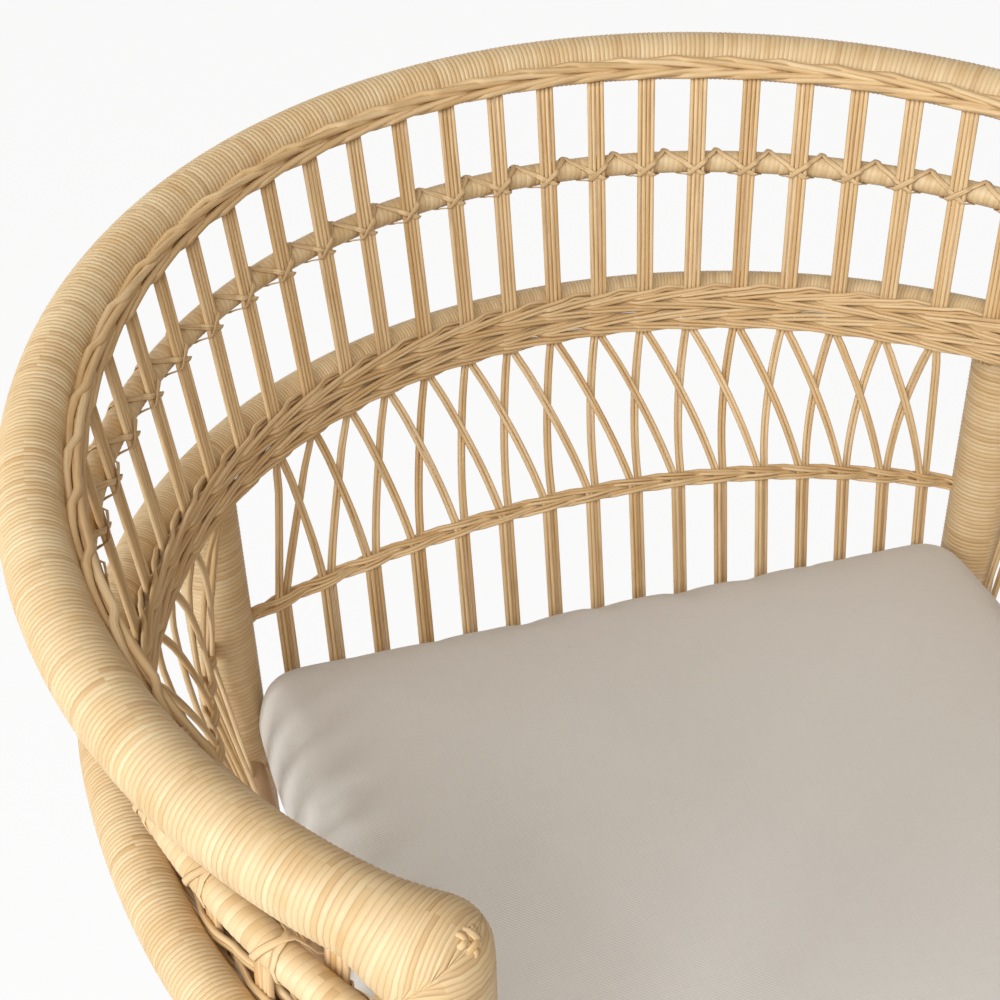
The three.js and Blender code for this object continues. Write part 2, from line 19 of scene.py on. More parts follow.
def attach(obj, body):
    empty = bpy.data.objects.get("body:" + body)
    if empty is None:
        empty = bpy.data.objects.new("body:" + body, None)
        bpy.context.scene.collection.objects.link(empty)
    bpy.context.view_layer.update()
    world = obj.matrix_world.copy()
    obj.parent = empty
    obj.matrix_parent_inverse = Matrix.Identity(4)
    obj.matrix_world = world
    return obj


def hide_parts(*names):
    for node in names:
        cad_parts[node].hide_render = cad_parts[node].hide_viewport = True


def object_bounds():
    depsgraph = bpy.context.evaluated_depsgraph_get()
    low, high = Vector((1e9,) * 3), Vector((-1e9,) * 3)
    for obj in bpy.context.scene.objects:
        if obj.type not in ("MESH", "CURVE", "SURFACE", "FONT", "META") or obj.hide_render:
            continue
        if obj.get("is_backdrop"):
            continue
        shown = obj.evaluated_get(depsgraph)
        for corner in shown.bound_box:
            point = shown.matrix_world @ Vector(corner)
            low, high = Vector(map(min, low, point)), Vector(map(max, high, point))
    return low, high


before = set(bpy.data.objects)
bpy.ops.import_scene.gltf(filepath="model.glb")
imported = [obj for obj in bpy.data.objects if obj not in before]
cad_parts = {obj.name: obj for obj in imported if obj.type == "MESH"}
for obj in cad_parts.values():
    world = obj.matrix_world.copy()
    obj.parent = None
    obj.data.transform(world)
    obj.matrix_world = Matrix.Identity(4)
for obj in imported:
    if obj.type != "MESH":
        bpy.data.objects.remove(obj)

LOG = logging.getLogger("chair")
Array = np.ndarray
Pair = tuple[float, float]
Triple = tuple[float, float, float]
Colour = Triple
Surface = Callable[[Array, Array], Array]  # points for places on a wall and for how far down it they are
Line = Callable[[Array], tuple[Array, Array, Array]]  # points, outward normals and the way up for places
UP = np.array([0.0, 0.0, 1.0])
FRONT = np.array([0.0, -1.0, 0.0])
LEVEL = np.array([1.0, 1.0, 0.0])  # takes the height out of a point
WHITE: Colour = (1.0, 1.0, 1.0)
SIDES = (("left", -1), ("right", 1))  # names and signs of x
NEARBY = 1e-3  # step on a wall for its directions
TINY = 1e-9  # keeps a division from failing
CHAIR = "chair"
CUSHION = "cushion"
RANDOM_SEED = 20


class Panel(Enum):
    """The three panels of the wall between the posts; the value is the sign of their x."""

    LEFT = -1
    BACK = 0
    RIGHT = 1


class Slot(Enum):
    """The record's material slots, apart from the deck's, which keeps its own mesh and slot."""

    PEEL = "wrapped_peel"
    CANE = "cane"
    COTTON = "cotton"


def unit(vectors: Array) -> Array:
    """Vectors, along the last axis, with their lengths made one."""
    return vectors / np.linalg.norm(vectors, axis=-1, keepdims=True)


def blend(a: Array, b: Array, share: Array) -> Array:
    """Points on the way from a, at share 0, to b, at share 1."""
    return a + (b - a) * np.asarray(share)[..., None]


def ease(x: Array) -> Array:
    """Smooth step from 0 below x = 0 to 1 above x = 1."""
    t = np.clip(x, 0.0, 1.0)
    return t * t * (3.0 - 2.0 * t)


def running_length(points: Array) -> Array:
    """Length along paths up to each of their points, where the last two axes are points and x, y, z."""
    steps = np.linalg.norm(np.diff(points, axis=-2), axis=-1)
    return np.concatenate([np.zeros(steps.shape[:-1] + (1,)), np.cumsum(steps, axis=-1)], axis=-1)


@dataclass(frozen=True)
class ChairPlan:
    """The chair's driving sizes, in metres, and the curves and surfaces that its pieces follow.

    Stakes are counted from the back centre at 0.5, 1.5 and so on, with the left side negative. Any number
    between them is a place on the wall.
    """

    clearance: float = 0.0003
    rim_radius: float = 0.3555
    rim_end: float = math.radians(136.4)
    rim_pole: float = 0.015
    upright_pole: float = 0.020
    rim_rise: float = 0.075
    rim_fall: float = 0.077
    band_side_inset: float = 0.0095
    band_back_inset: float = 0.016
    band_depth_gain: float = 0.0095
    band_height: float = 0.032
    ring_pole: float = 0.012
    ring_drop: float = 0.009
    arm_flare: float = 0.0122
    arm_flare_start: float = math.radians(95.0)
    arm_flare_span: float = math.radians(40.0)
    arm_lean_room: float = 0.1
    cross_rail_pole: float = 0.0072
    cross_rail_drop: float = 0.44
    cross_rail_fall: float = 0.17
    cross_rail_fall_power: int = 6
    cross_rail_overrun: float = 0.9
    stakes_per_side: int = 21
    back_stakes_per_side: int = 8
    stake_spread: float = 0.065
    rim_stake_end: float = math.radians(128.3)
    band_stake_end: float = math.radians(125.1)
    cane_radius: float = 0.00135
    post_pole: float = 0.021
    post_angle: float = math.radians(49.8)
    post_outset: float = 0.0167
    post_drop: float = 0.010
    twine_rise: float = 0.091
    twine_arch: float = 0.045
    lattice_rise: float = 0.076
    back_twine_outset: float = 0.0064
    back_twine_bow: float = 0.015
    side_twine_outset: float = 0.007
    side_twine_bow: float = 0.025
    back_margin: float = 0.0426
    side_margin: float = 0.032
    rail_pole: float = 0.014
    rail_top: float = 0.380

    @property
    def last_stake(self) -> float:
        """Place of the last stake on the right."""
        return self.stakes_per_side - 0.5

    @property
    def post_stake(self) -> float:
        """Place of the stake at the right rear post."""
        return self.back_stakes_per_side + 0.5

    @property
    def back_stake(self) -> float:
        """Place of the last stake at the back, next to the right rear post."""
        return self.back_stakes_per_side - 0.5

    @property
    def knuckle_drop(self) -> float:
        """How far the rim's middle line falls at an arm front, where the pole grows to the upright's size."""
        return self.upright_pole - self.rim_pole

    @property
    def rim_centre_y(self) -> float:
        """y of the middle of the rim's circle, which puts the chair's box at the origin."""
        return (self.knuckle_drop - self.rim_radius * (1.0 + math.cos(self.rim_end))) / 2.0

    @property
    def rim_stake_radius(self) -> float:
        """Radius of the stakes' line at the rim."""
        return self.rim_radius - self.rim_pole - 2.0 * self.clearance - self.cane_radius

    @property
    def band_half(self) -> tuple[float, float]:
        """Half width and half depth of the stakes' line at the mid band."""
        return self.rim_stake_radius - self.band_side_inset, self.rim_stake_radius + self.band_depth_gain

    @property
    def band_centre_y(self) -> float:
        """y of the middle of that line."""
        return self.rim_centre_y + self.rim_stake_radius - self.band_back_inset - self.band_half[1]

    @property
    def band_bottom(self) -> float:
        """Height of the mid band's lower edge."""
        return self.rail_top + self.twine_rise + self.twine_arch + self.lattice_rise

    @property
    def band_top(self) -> float:
        """Height of the mid band's upper edge."""
        return self.band_bottom + self.band_height

    @property
    def layer(self) -> float:
        """How far crossing canes pass each side of the wall."""
        return self.cane_radius + self.clearance

    @property
    def bend_height(self) -> float:
        """Where the wall turns in below the band."""
        return self.band_bottom - self.layer - self.cane_radius

    @property
    def ring_outset(self) -> float:
        """Distance of the mid ring's centre outside the stakes' line."""
        return self.layer + self.cane_radius + self.clearance + self.ring_pole

    def rim_point(self, angle: Array, radius: Array | float) -> Array:
        """Points over the rim's circle, at the rim's height.

        Args:
            angle: from the back centre, positive to the right.
            radius: distance from the circle's middle.

        Returns:
            Points of shape angle.shape + (3,).
        """
        u = np.abs(angle) / self.rim_end
        height = self.band_top + self.rim_rise + self.rim_fall * (1.0 - u * u) ** 2
        return np.stack([radius * np.sin(angle), self.rim_centre_y + radius * np.cos(angle), height], axis=-1)

    def arm_swing(self, angle: Array) -> Array:
        """How far the band swings out at an angle, to pass outside the front uprights."""
        return self.arm_flare * ease((np.abs(angle) - self.arm_flare_start) / self.arm_flare_span)

    def band_point(self, angle: Array, outset: float, height: Array | float) -> Array:
        """Points on the mid band's line, an ellipse with flared ends, moved outwards along its normal.

        Args:
            angle: from the back centre, positive to the right.
            outset: distance outside the stakes' line.
            height: z of the points.

        Returns:
            Points of shape angle.shape + (3,).
        """
        half_width, half_depth = self.band_half
        normal = unit(np.stack([np.sin(angle) / half_width, np.cos(angle) / half_depth], axis=-1))
        reach = outset + self.arm_swing(angle)
        x = half_width * np.sin(angle) + reach * normal[..., 0]
        y = self.band_centre_y + half_depth * np.cos(angle) + reach * normal[..., 1]
        return np.stack([x, y, np.broadcast_to(height, x.shape)], axis=-1)

    def stake_angle(self, stake: Array, end: float) -> Array:
        """The angle of a place on the wall: evenly spaced, a little wider towards the arm fronts."""
        u = stake / self.last_stake
        return end * ((1.0 - self.stake_spread) * u + self.stake_spread * u**3)

    def at_band(self, stake: Array, height: Array | float) -> Array:
        """The wall's points on the mid band's ellipse at a height."""
        return self.band_point(self.stake_angle(stake, self.band_stake_end), 0.0, height)

    def band_across(self, stake: Array, height: Array | float) -> Array:
        """The direction towards higher stakes on the mid band's ellipse."""
        return unit(self.at_band(stake + NEARBY, height) - self.at_band(stake - NEARBY, height))

    def upper_wall(self, stake: Array, v: Array) -> Array:
        """The wall above the band, which is straight from top to bottom.

        Args:
            stake: places on the wall.
            v: 0 at the rim and 1 at the band's top.

        Returns:
            Points of shape stake.shape + (3,).
        """
        angle = self.stake_angle(stake, self.rim_stake_end)
        top = self.rim_point(angle, self.rim_stake_radius - self.arm_lean_room * self.arm_swing(angle))
        return blend(top, self.at_band(stake, self.band_top), v)

    @property
    def upright(self) -> Array:
        """Top of the right front upright's axis, where the rim ends."""
        return self.rim_point(np.array(self.rim_end), self.rim_radius)

    @property
    def post(self) -> Array:
        """Foot of the right rear post's axis."""
        return self.band_point(np.array(self.post_angle), self.ring_outset + self.post_outset, 0.0)

    @property
    def side_run(self) -> tuple[float, Array, Array]:
        """Length, direction and outward normal of the line from the right rear post to the front upright."""
        run = (self.upright - self.post) * LEVEL
        length = float(np.linalg.norm(run))
        along = run / length
        return length, along, np.array([-along[1], along[0], 0.0])

    def above_panel(self, panel: Panel, u: Array, outset: Array | float, height: Array | float) -> Array:
        """Points above a seat rail.

        Args:
            panel: which rail.
            u: share of the rail's length, from left to right at the back and from the post at the sides.
            outset: distance outside the rail's middle.
            height: z of the points.

        Returns:
            Points of shape u.shape + (3,).
        """
        shape = np.broadcast(u, outset, height).shape
        flat = np.zeros(shape + (3,))
        if panel is Panel.BACK:
            flat[..., 0] = self.post[0] * (2.0 * u - 1.0)
            flat[..., 1] = self.post[1] + outset
        else:
            length, along, out = self.side_run
            flat += self.post + np.multiply.outer(u * length, along)
            flat += np.multiply.outer(np.broadcast_to(outset, shape), out)
            flat[..., 0] *= panel.value
        flat[..., 2] = height
        return flat

    def lower_twine(self, panel: Panel, u: Array) -> Array:
        """The line of the lower twine: an arch between two posts, bowed out a little in plan.

        Args:
            panel: which panel.
            u: share of its length.

        Returns:
            Points of shape u.shape + (3,).
        """
        arch = 1.0 - (2.0 * u - 1.0) ** 2
        back = panel is Panel.BACK
        outset = self.back_twine_outset if back else self.side_twine_outset
        bow = self.back_twine_bow if back else self.side_twine_bow
        height = self.rail_top + self.twine_rise + self.twine_arch * arch
        return self.above_panel(panel, u, outset + bow * arch, height)

    def panel_of(self, stake: float) -> Panel:
        """The panel below a stake."""
        if abs(stake) < self.back_stakes_per_side:
            return Panel.BACK
        return Panel.RIGHT if stake > 0 else Panel.LEFT

    def panel_share(self, stake: Array, panel: Panel) -> Array:
        """The share of its panel's length at which a lower bundle stands.

        Args:
            stake: the bundle's place.
            panel: its panel.

        Returns:
            Shares, counted as in above_panel.
        """
        if panel is Panel.BACK:
            first, last, place = -self.back_stake, self.back_stake, stake
            margin = self.back_margin / (2.0 * self.post[0])
        else:
            first, last, place = self.post_stake + 1.0, self.last_stake, np.abs(stake)
            margin = self.side_margin / self.side_run[0]
        return margin + (place - first) / (last - first) * (1.0 - 2.0 * margin)

    def panel_pitch(self, panel: Panel) -> float:
        """Distance between neighbouring lower bundles."""
        length = 2.0 * self.post[0] if panel is Panel.BACK else self.side_run[0]
        pair = self.panel_share(np.array([self.last_stake - 1.0, self.last_stake]), panel)
        return float(length * (pair[1] - pair[0]))

    def lower_wall(self, panel: Panel, stake: Array, v: Array) -> Array:
        """The wall below the band.

        Args:
            panel: which panel.
            stake: places on it.
            v: 0 at the band, 1 at the lower twine and 2 at the seat rail.

        Returns:
            Points of shape stake.shape + (3,).
        """
        u = self.panel_share(stake, panel)
        twine = self.lower_twine(panel, u)
        lattice = blend(self.at_band(stake, self.bend_height), twine, np.minimum(v, 1.0))
        foot = blend(twine, self.above_panel(panel, u, 0.0, self.rail_top), np.maximum(v - 1.0, 0.0))
        return np.where((np.asarray(v) <= 1.0)[..., None], lattice, foot)

    def wall_frame(self, place: Surface, stake: Array, v: Array) -> tuple[Array, Array]:
        """Directions on a wall surface.

        Args:
            place: the surface.
            stake: places on it.
            v: how far down it.

        Returns:
            The direction towards higher stakes and the outward normal.
        """
        across = unit(place(stake + NEARBY, v) - place(stake - NEARBY, v))
        down = place(stake, v + NEARBY) - place(stake, v - NEARBY)
        return across, unit(np.cross(across, down))


PLAN = ChairPlan()


def grid_quads(index: Array, after: Array) -> Array:
    """Quads between rings of vertex numbers, where after holds each vertex's neighbour on its ring."""
    return np.stack([index[..., :-1, :], after[..., :-1, :], after[..., 1:, :], index[..., 1:, :]], axis=-1)


def grid_uv(along: Array, sides: int) -> Array:
    """UV pairs for the corners of such faces.

    Args:
        along: the rings' first numbers, shape (..., rings).
        sides: points on each ring; the second number is the share of a turn.

    Returns:
        Pairs, shape (..., rings - 1, sides, 4, 2).
    """
    around = np.arange(sides + 1) / sides
    low, high = along[..., :-1], along[..., 1:]
    u = np.stack([low, low, high, high], axis=-1)[..., None, :]
    v = np.stack([around[:-1], around[1:], around[1:], around[:-1]], axis=-1)
    return np.stack(np.broadcast_arrays(u, v), axis=-1)


class Tubes:
    """Closed tubes through elliptical rings, with a UV map of length and turn and a tone for each tube."""

    def __init__(self, centres: Array, across: Array, deep: Array, sides: int, tones: Array) -> None:
        """Args:
        centres: ring centres, shape (tubes, rings, 3).
        across: one half axis of each ring, same shape.
        deep: the other half axis, with across x deep along the tube.
        sides: points on each ring.
        tones: one number from 0 to 1 for each tube.
        """
        self.centres = centres
        self.sides = sides
        self.tones = tones
        turn = 2.0 * math.pi * np.arange(sides) / sides
        wheel = np.cos(turn)[:, None] * across[:, :, None, :] + np.sin(turn)[:, None] * deep[:, :, None, :]
        self.points = centres[:, :, None, :] + wheel

    def mesh(self, name: str) -> bpy.types.Mesh:
        """Makes the mesh.

        Args:
            name: the mesh's name.

        Returns:
            A mesh with smooth faces, flat ends, a UV map "run" in metres and turns, and the attribute "tone".
        """
        tubes, rings, sides, _ = self.points.shape
        index = np.arange(tubes * rings * sides).reshape(tubes, rings, sides)
        quads = grid_quads(index, np.roll(index, -1, axis=2))
        ends = np.concatenate([index[:, 0, ::-1], index[:, -1, :]])
        uv = grid_uv(running_length(self.centres), sides)
        loops_uv = np.concatenate([uv.reshape(-1, 2), np.zeros((ends.size, 2))])
        faces = quads.reshape(-1, 4).tolist() + ends.tolist()
        tone = np.repeat(self.tones, rings * sides)
        return make_mesh(name, self.points.reshape(-1, 3), faces, loops_uv, tone)


def make_mesh(name: str, points: Array, faces: list[list[int]], uv: Array, tone: Array) -> bpy.types.Mesh:
    """Makes a smooth mesh with a UV map and one attribute.

    Args:
        name: the mesh's name.
        points: vertices, shape (n, 3).
        faces: vertex numbers of each face.
        uv: one pair for each face corner, in the order of the faces.
        tone: one number for each vertex.

    Returns:
        The mesh.
    """
    mesh = bpy.data.meshes.new(name)
    mesh.from_pydata(points.tolist(), [], faces)
    layer = mesh.uv_layers.new(name="run")
    layer.data.foreach_set("uv", uv.astype(np.float32).ravel())
    attribute = mesh.attributes.new("tone", "FLOAT", "POINT")
    attribute.data.foreach_set("value", tone.astype(np.float32))
    mesh.shade_smooth()
    mesh.validate()
    return mesh


def link(name: str, data: bpy.types.ID) -> bpy.types.Object:
    """A new object in the scene for a mesh, camera or light."""
    made = bpy.data.objects.new(name, data)
    bpy.context.scene.collection.objects.link(made)
    return made


def add_piece(mesh: bpy.types.Mesh, material: bpy.types.Material, slot: Slot, nodes: Sequence[str],
              body: str = CHAIR) -> None:
    """Links a finished mesh as a piece of the object.

    Args:
        mesh: the piece's mesh, in place.
        material: its finish.
        slot: the record's slot for it; not used.
        nodes: CAD nodes that it stands for.
        body: the body that it moves with.
    """
    piece = link(mesh.name, mesh)
    mesh.materials.append(material)
    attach(piece, body)
    if nodes:
        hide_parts(*nodes)
    LOG.info("made %s, of %d faces", piece.name, len(mesh.polygons))


def strand_tubes(points: Array, normals: Array, radius: float, sides: int, tones: Array,
                 flatness: float = 1.0) -> Tubes:
    """Round or slightly flat canes along paths.

    Args:
        points: paths, shape (canes, points, 3).
        normals: the wall's outward normals there, same shape.
        radius: half the canes' width.
        sides: points on each ring.
        tones: one number for each cane.
        flatness: thickness over width.

    Returns:
        The tubes.
    """
    along = unit(np.gradient(points, axis=1))
    across = unit(np.cross(normals, along))
    deep = np.cross(along, across)
    return Tubes(points, across * radius, deep * radius * flatness, sides, tones)


class Socket:
    """An output of a shader node that can be used in sums."""

    def __init__(self, graph: "Graph", output: bpy.types.NodeSocket) -> None:
        """Wraps a node's output in a material's graph."""
        self.graph = graph
        self.output = output

    def math(self, operation: str, *others: "Socket | float", first: bool = True) -> "Socket":
        """This value joined with others in a Math node; it comes last if first is False."""
        values = [self, *others] if first else [*others, self]
        return self.graph.value("ShaderNodeMath", 0, {"operation": operation}, dict(enumerate(values)))

    def __add__(self, other: "Socket | float") -> "Socket":
        """This value plus another."""
        return self.math("ADD", other)

    __radd__ = __add__

    def __sub__(self, other: "Socket | float") -> "Socket":
        """This value less another."""
        return self.math("SUBTRACT", other)

    def __rsub__(self, other: float) -> "Socket":
        """A number less this value."""
        return self.math("SUBTRACT", other, first=False)

    def __mul__(self, other: "Socket | float") -> "Socket":
        """This value times another."""
        return self.math("MULTIPLY", other)

    __rmul__ = __mul__

    def rise(self, low: float, high: float) -> "Socket":
        """Smooth step of this value from 0 at low to 1 at high."""
        return self.graph.value("ShaderNodeMapRange", "Result", {"interpolation_type": "SMOOTHSTEP"},
                                {"Value": self, "From Min": low, "From Max": high})


class Graph:
    """The node tree of a material or the surround, with one method for any node and a few for common ones."""

    def __init__(self, owner: bpy.types.Material | bpy.types.World) -> None:
        """Args:
        owner: the new material or world.
        """
        self.owner = owner
        owner.use_nodes = True
        self.tree = owner.node_tree
        self.tree.nodes.clear()

    def node(self, kind: str, settings: dict[str, object] | None = None,
             inputs: dict[str | int, object] | None = None) -> bpy.types.Node:
        """Adds a node.

        Args:
            kind: the node's type.
            settings: its properties.
            inputs: numbers, colours or sockets for its inputs, by name or number.

        Returns:
            The node.
        """
        node = self.tree.nodes.new(kind)
        for key, value in (settings or {}).items():
            setattr(node, key, value)
        for key, value in (inputs or {}).items():
            if isinstance(value, Socket):
                self.tree.links.new(value.output, node.inputs[key])
            elif isinstance(value, tuple) and len(value) == 3 and node.inputs[key].type == "RGBA":
                node.inputs[key].default_value = (*value, 1.0)
            else:
                node.inputs[key].default_value = value
        return node

    def value(self, kind: str, output: str | int = 0, settings: dict[str, object] | None = None,
              inputs: dict[str | int, object] | None = None) -> Socket:
        """One output, by name or number, of a new node."""
        return Socket(self, self.node(kind, settings, inputs).outputs[output])

    def parts(self, vector: Socket) -> list[Socket]:
        """The x, y and z of a vector."""
        return [Socket(self, part) for part in self.node("ShaderNodeSeparateXYZ", None, {0: vector}).outputs]

    def run(self) -> list[Socket]:
        """Length and turn from the UV map of wound poles and canes."""
        return self.parts(self.value("ShaderNodeUVMap", 0, {"uv_map": "run"}))[:2]

    def tone(self) -> Socket:
        """The tone of each cane."""
        return self.value("ShaderNodeAttribute", "Fac", {"attribute_name": "tone"})

    def place(self) -> Socket:
        """Object coordinates."""
        return self.value("ShaderNodeTexCoord", "Object")

    def vector(self, x: "Socket | float", y: "Socket | float", z: "Socket | float") -> Socket:
        """A vector from three values."""
        return self.value("ShaderNodeCombineXYZ", 0, None, {0: x, 1: y, 2: z})

    def scaled(self, values: Sequence[Socket], scales: Sequence[float]) -> Socket:
        """A vector from two or three values, each times its scale."""
        inputs = {axis: value * scale for axis, (value, scale) in enumerate(zip(values, scales))}
        return self.value("ShaderNodeCombineXYZ", 0, None, inputs)

    def noise(self, vector: Socket, scale: float, detail: float = 2.0) -> Socket:
        """Smooth noise from 0 to 1."""
        inputs = {"Vector": vector, "Scale": scale, "Detail": detail}
        return self.value("ShaderNodeTexNoise", "Fac", None, inputs)

    def mix(self, factor: Socket, a: "Socket | Colour", b: "Socket | Colour") -> Socket:
        """A colour between two colours.

        Args:
            factor: 0 for the first colour and 1 for the second.
            a: the first colour.
            b: the second colour.

        Returns:
            The mixed colour.
        """
        node = self.node("ShaderNodeMix", {"data_type": "RGBA"}, {"Factor": factor})
        for name, value in (("A", a), ("B", b)):
            entry = next(s for s in node.inputs if s.name == name and s.type == "RGBA")
            if isinstance(value, Socket):
                self.tree.links.new(value.output, entry)
            else:
                entry.default_value = (*value, 1.0)
        return Socket(self, next(s for s in node.outputs if s.type == "RGBA"))

    def bump(self, height: Socket, strength: float, distance: float) -> Socket:
        """A normal from a height in metres times distance."""
        return self.value("ShaderNodeBump", "Normal", None,
                          {"Strength": strength, "Distance": distance, "Height": height})

    def seen(self) -> Socket:
        """1 for what the camera sees, by itself or in or through a piece, and 0 for the light that falls."""
        path = self.node("ShaderNodeLightPath")
        kinds = ("Is Camera Ray", "Is Glossy Ray", "Is Transmission Ray")
        camera, glossy, through = (Socket(self, path.outputs[kind]) for kind in kinds)
        return camera + glossy + through

    def show(self, output: str, factor: Socket, falling: Socket, shown: Socket) -> None:
        """Finishes a tree with a mix of the shader for falling light and the one that the camera is shown."""
        mixed = self.value("ShaderNodeMixShader", 0, None, {0: factor, 1: falling, 2: shown})
        self.node(output, None, {"Surface": mixed})

    def surface(self, inputs: dict[str | int, object]) -> bpy.types.Material:
        """Finishes the material with a Principled surface.

        Args:
            inputs: values or sockets of the Principled BSDF.

        Returns:
            The material.
        """
        shader = self.value("ShaderNodeBsdfPrincipled", 0, None, inputs)
        self.node("ShaderNodeOutputMaterial", None, {"Surface": shader})
        return self.owner


@dataclass(frozen=True)
class PeelWinding:
    """Rattan peel wound round a pole: glossy flat strips, each of its own tone, with painted shade as dark
    lines between.
    """

    name: str = "peel_winding"
    # strength of the painted shade in the grooves between turns
    line: float = 0.6
    pale: Colour = (0.77, 0.60, 0.365)
    honey: Colour = (0.60, 0.385, 0.165)
    brown: Colour = (0.42, 0.22, 0.07)
    # colour of the painted shade in the grooves between turns
    gap: Colour = (0.34, 0.20, 0.085)
    tone_pace: float = 0.9
    brown_pace: float = 0.55
    # pace of the turns whose painted groove shade is fainter
    plain_pace: float = 0.23
    blotches: float = 38.0
    # width of a strip's edge, which takes the painted groove shade and the bump
    edge: float = 0.15
    roughness: float = 0.46
    coat: float = 0.2
    coat_roughness: float = 0.45
    bump: float = 0.35
    relief: float = 0.0006

    def build(self) -> bpy.types.Material:
        """Makes the material.

        Returns:
            A material that reads the turn count from the UV map's first number.
        """
        g = Graph(bpy.data.materials.new(self.name))
        turns, around = g.run()
        number = turns.math("FLOOR")
        across = turns.math("FRACT")
        strip = number + around
        own = g.noise(g.vector(strip * self.tone_pace, 0.0, 0.0), 1.0, 2.0)
        second = g.noise(g.vector(strip * self.brown_pace, 7.0, 0.0), 1.0, 1.0)
        blotch = g.noise(g.place(), self.blotches, 3.0)
        streak = g.noise(g.vector(across * 2.2 + number * 3.1, around * 1.3, number), 2.0, 3.0)
        warm = (own * 1.1 + blotch * 0.8 - 0.55).rise(0.0, 0.9)
        colour = g.mix(warm, self.pale, self.honey)
        colour = g.mix(second.rise(0.50, 0.75) * 0.6, colour, self.brown)
        colour = g.mix((streak - 0.5).rise(0.0, 0.35) * 0.3, colour, self.honey)
        # painted shade: edge is 0 at a strip's edges, where the gap colour darkens the groove, and less so on
        # turns where plain is high
        edge = (0.5 - (across - 0.5).math("ABSOLUTE")).rise(0.0, self.edge)
        plain = g.noise(g.vector(strip * self.plain_pace, 3.0, 0.0), 1.0, 2.0).rise(0.35, 0.65)
        colour = g.mix((1.0 - edge) * (self.line * (1.0 - plain * 0.6)), colour, self.gap)
        rough = self.roughness + streak * 0.16 + (1.0 - edge) * 0.2
        height = edge * 0.6 + streak * 0.25
        return g.surface({"Base Color": colour, "Roughness": rough, "Coat Weight": self.coat,
                          "Coat Roughness": self.coat_roughness,
                          "Normal": g.bump(height, self.bump, self.relief)})


@dataclass(frozen=True)
class CaneFinish:
    """Peeled cane: satin, with lengthwise fibres and a tone for each strand."""

    name: str = "cane"
    pale: Colour = (0.78, 0.575, 0.33)
    honey: Colour = (0.60, 0.375, 0.16)
    brown: Colour = (0.39, 0.20, 0.065)
    fibres: Triple = (30.0, 9.0, 71.0)
    clouds: Pair = (12.0, 13.0)
    roughness: float = 0.44
    gloss: float = 0.35
    bump: float = 0.25
    relief: float = 0.0004

    def build(self) -> bpy.types.Material:
        """Makes the material.

        Returns:
            A material that reads the length and the tone of each strand.
        """
        g = Graph(bpy.data.materials.new(self.name))
        length, around = g.run()
        tone = g.tone()
        fibre = g.noise(g.scaled((length, around, tone), self.fibres), 1.0, 3.0)
        cloud = g.noise(g.scaled((length, tone), self.clouds), 1.0, 2.0)
        warm = (tone * 0.75 + cloud * 0.5 - 0.18).rise(0.0, 1.0)
        colour = g.mix(warm, self.pale, self.honey)
        colour = g.mix((fibre - 0.46).rise(0.0, 0.3) * 0.6, colour, self.brown)
        rough = self.roughness + fibre * 0.18
        return g.surface({"Base Color": colour, "Roughness": rough, "Specular IOR Level": self.gloss,
                          "Normal": g.bump(fibre, self.bump, self.relief)})


@dataclass(frozen=True)
class BarePole:
    """Peeled rattan pole without winding: a warm brown core with fine lengthwise pores."""

    light: Colour = (0.68, 0.46, 0.28)
    dark: Colour = (0.48, 0.29, 0.15)
    pores: Pair = (60.0, 40.0)
    clouds: float = 14.0
    roughness: float = 0.42
    bump: float = 0.3
    relief: float = 0.0005

    def build(self) -> bpy.types.Material:
        """Makes the material.

        Returns:
            A material that reads length and turn.
        """
        g = Graph(bpy.data.materials.new("bare_pole"))
        length, around = g.run()
        pores = g.noise(g.scaled((length, around), self.pores), 1.0, 4.0)
        cloud = g.noise(g.place(), self.clouds, 3.0)
        colour = g.mix((cloud * 0.9 + pores * 0.4 - 0.3).rise(0.0, 0.8), self.light, self.dark)
        return g.surface({"Base Color": colour, "Roughness": self.roughness + pores * 0.25,
                          "Normal": g.bump(pores, self.bump, self.relief)})


@dataclass(frozen=True)
class SlatWood:
    """Plain sawn slats: grain that runs from front to back."""

    light: Colour = (0.50, 0.31, 0.15)
    dark: Colour = (0.30, 0.16, 0.065)
    grain: Triple = (90.0, 5.0, 60.0)
    roughness: float = 0.6
    bump: float = 0.3
    relief: float = 0.0008

    def build(self) -> bpy.types.Material:
        """Makes the material.

        Returns:
            A material on Object coordinates.
        """
        g = Graph(bpy.data.materials.new("slat_wood"))
        grain = g.noise(g.scaled(g.parts(g.place()), self.grain), 1.0, 4.0)
        rings = (grain * 9.0).math("SINE") * 0.5 + 0.5
        colour = g.mix((rings * 0.5 + grain * 0.5).rise(0.1, 0.9), self.light, self.dark)
        return g.surface({"Base Color": colour, "Roughness": self.roughness + grain * 0.2,
                          "Normal": g.bump(grain, self.bump, self.relief)})


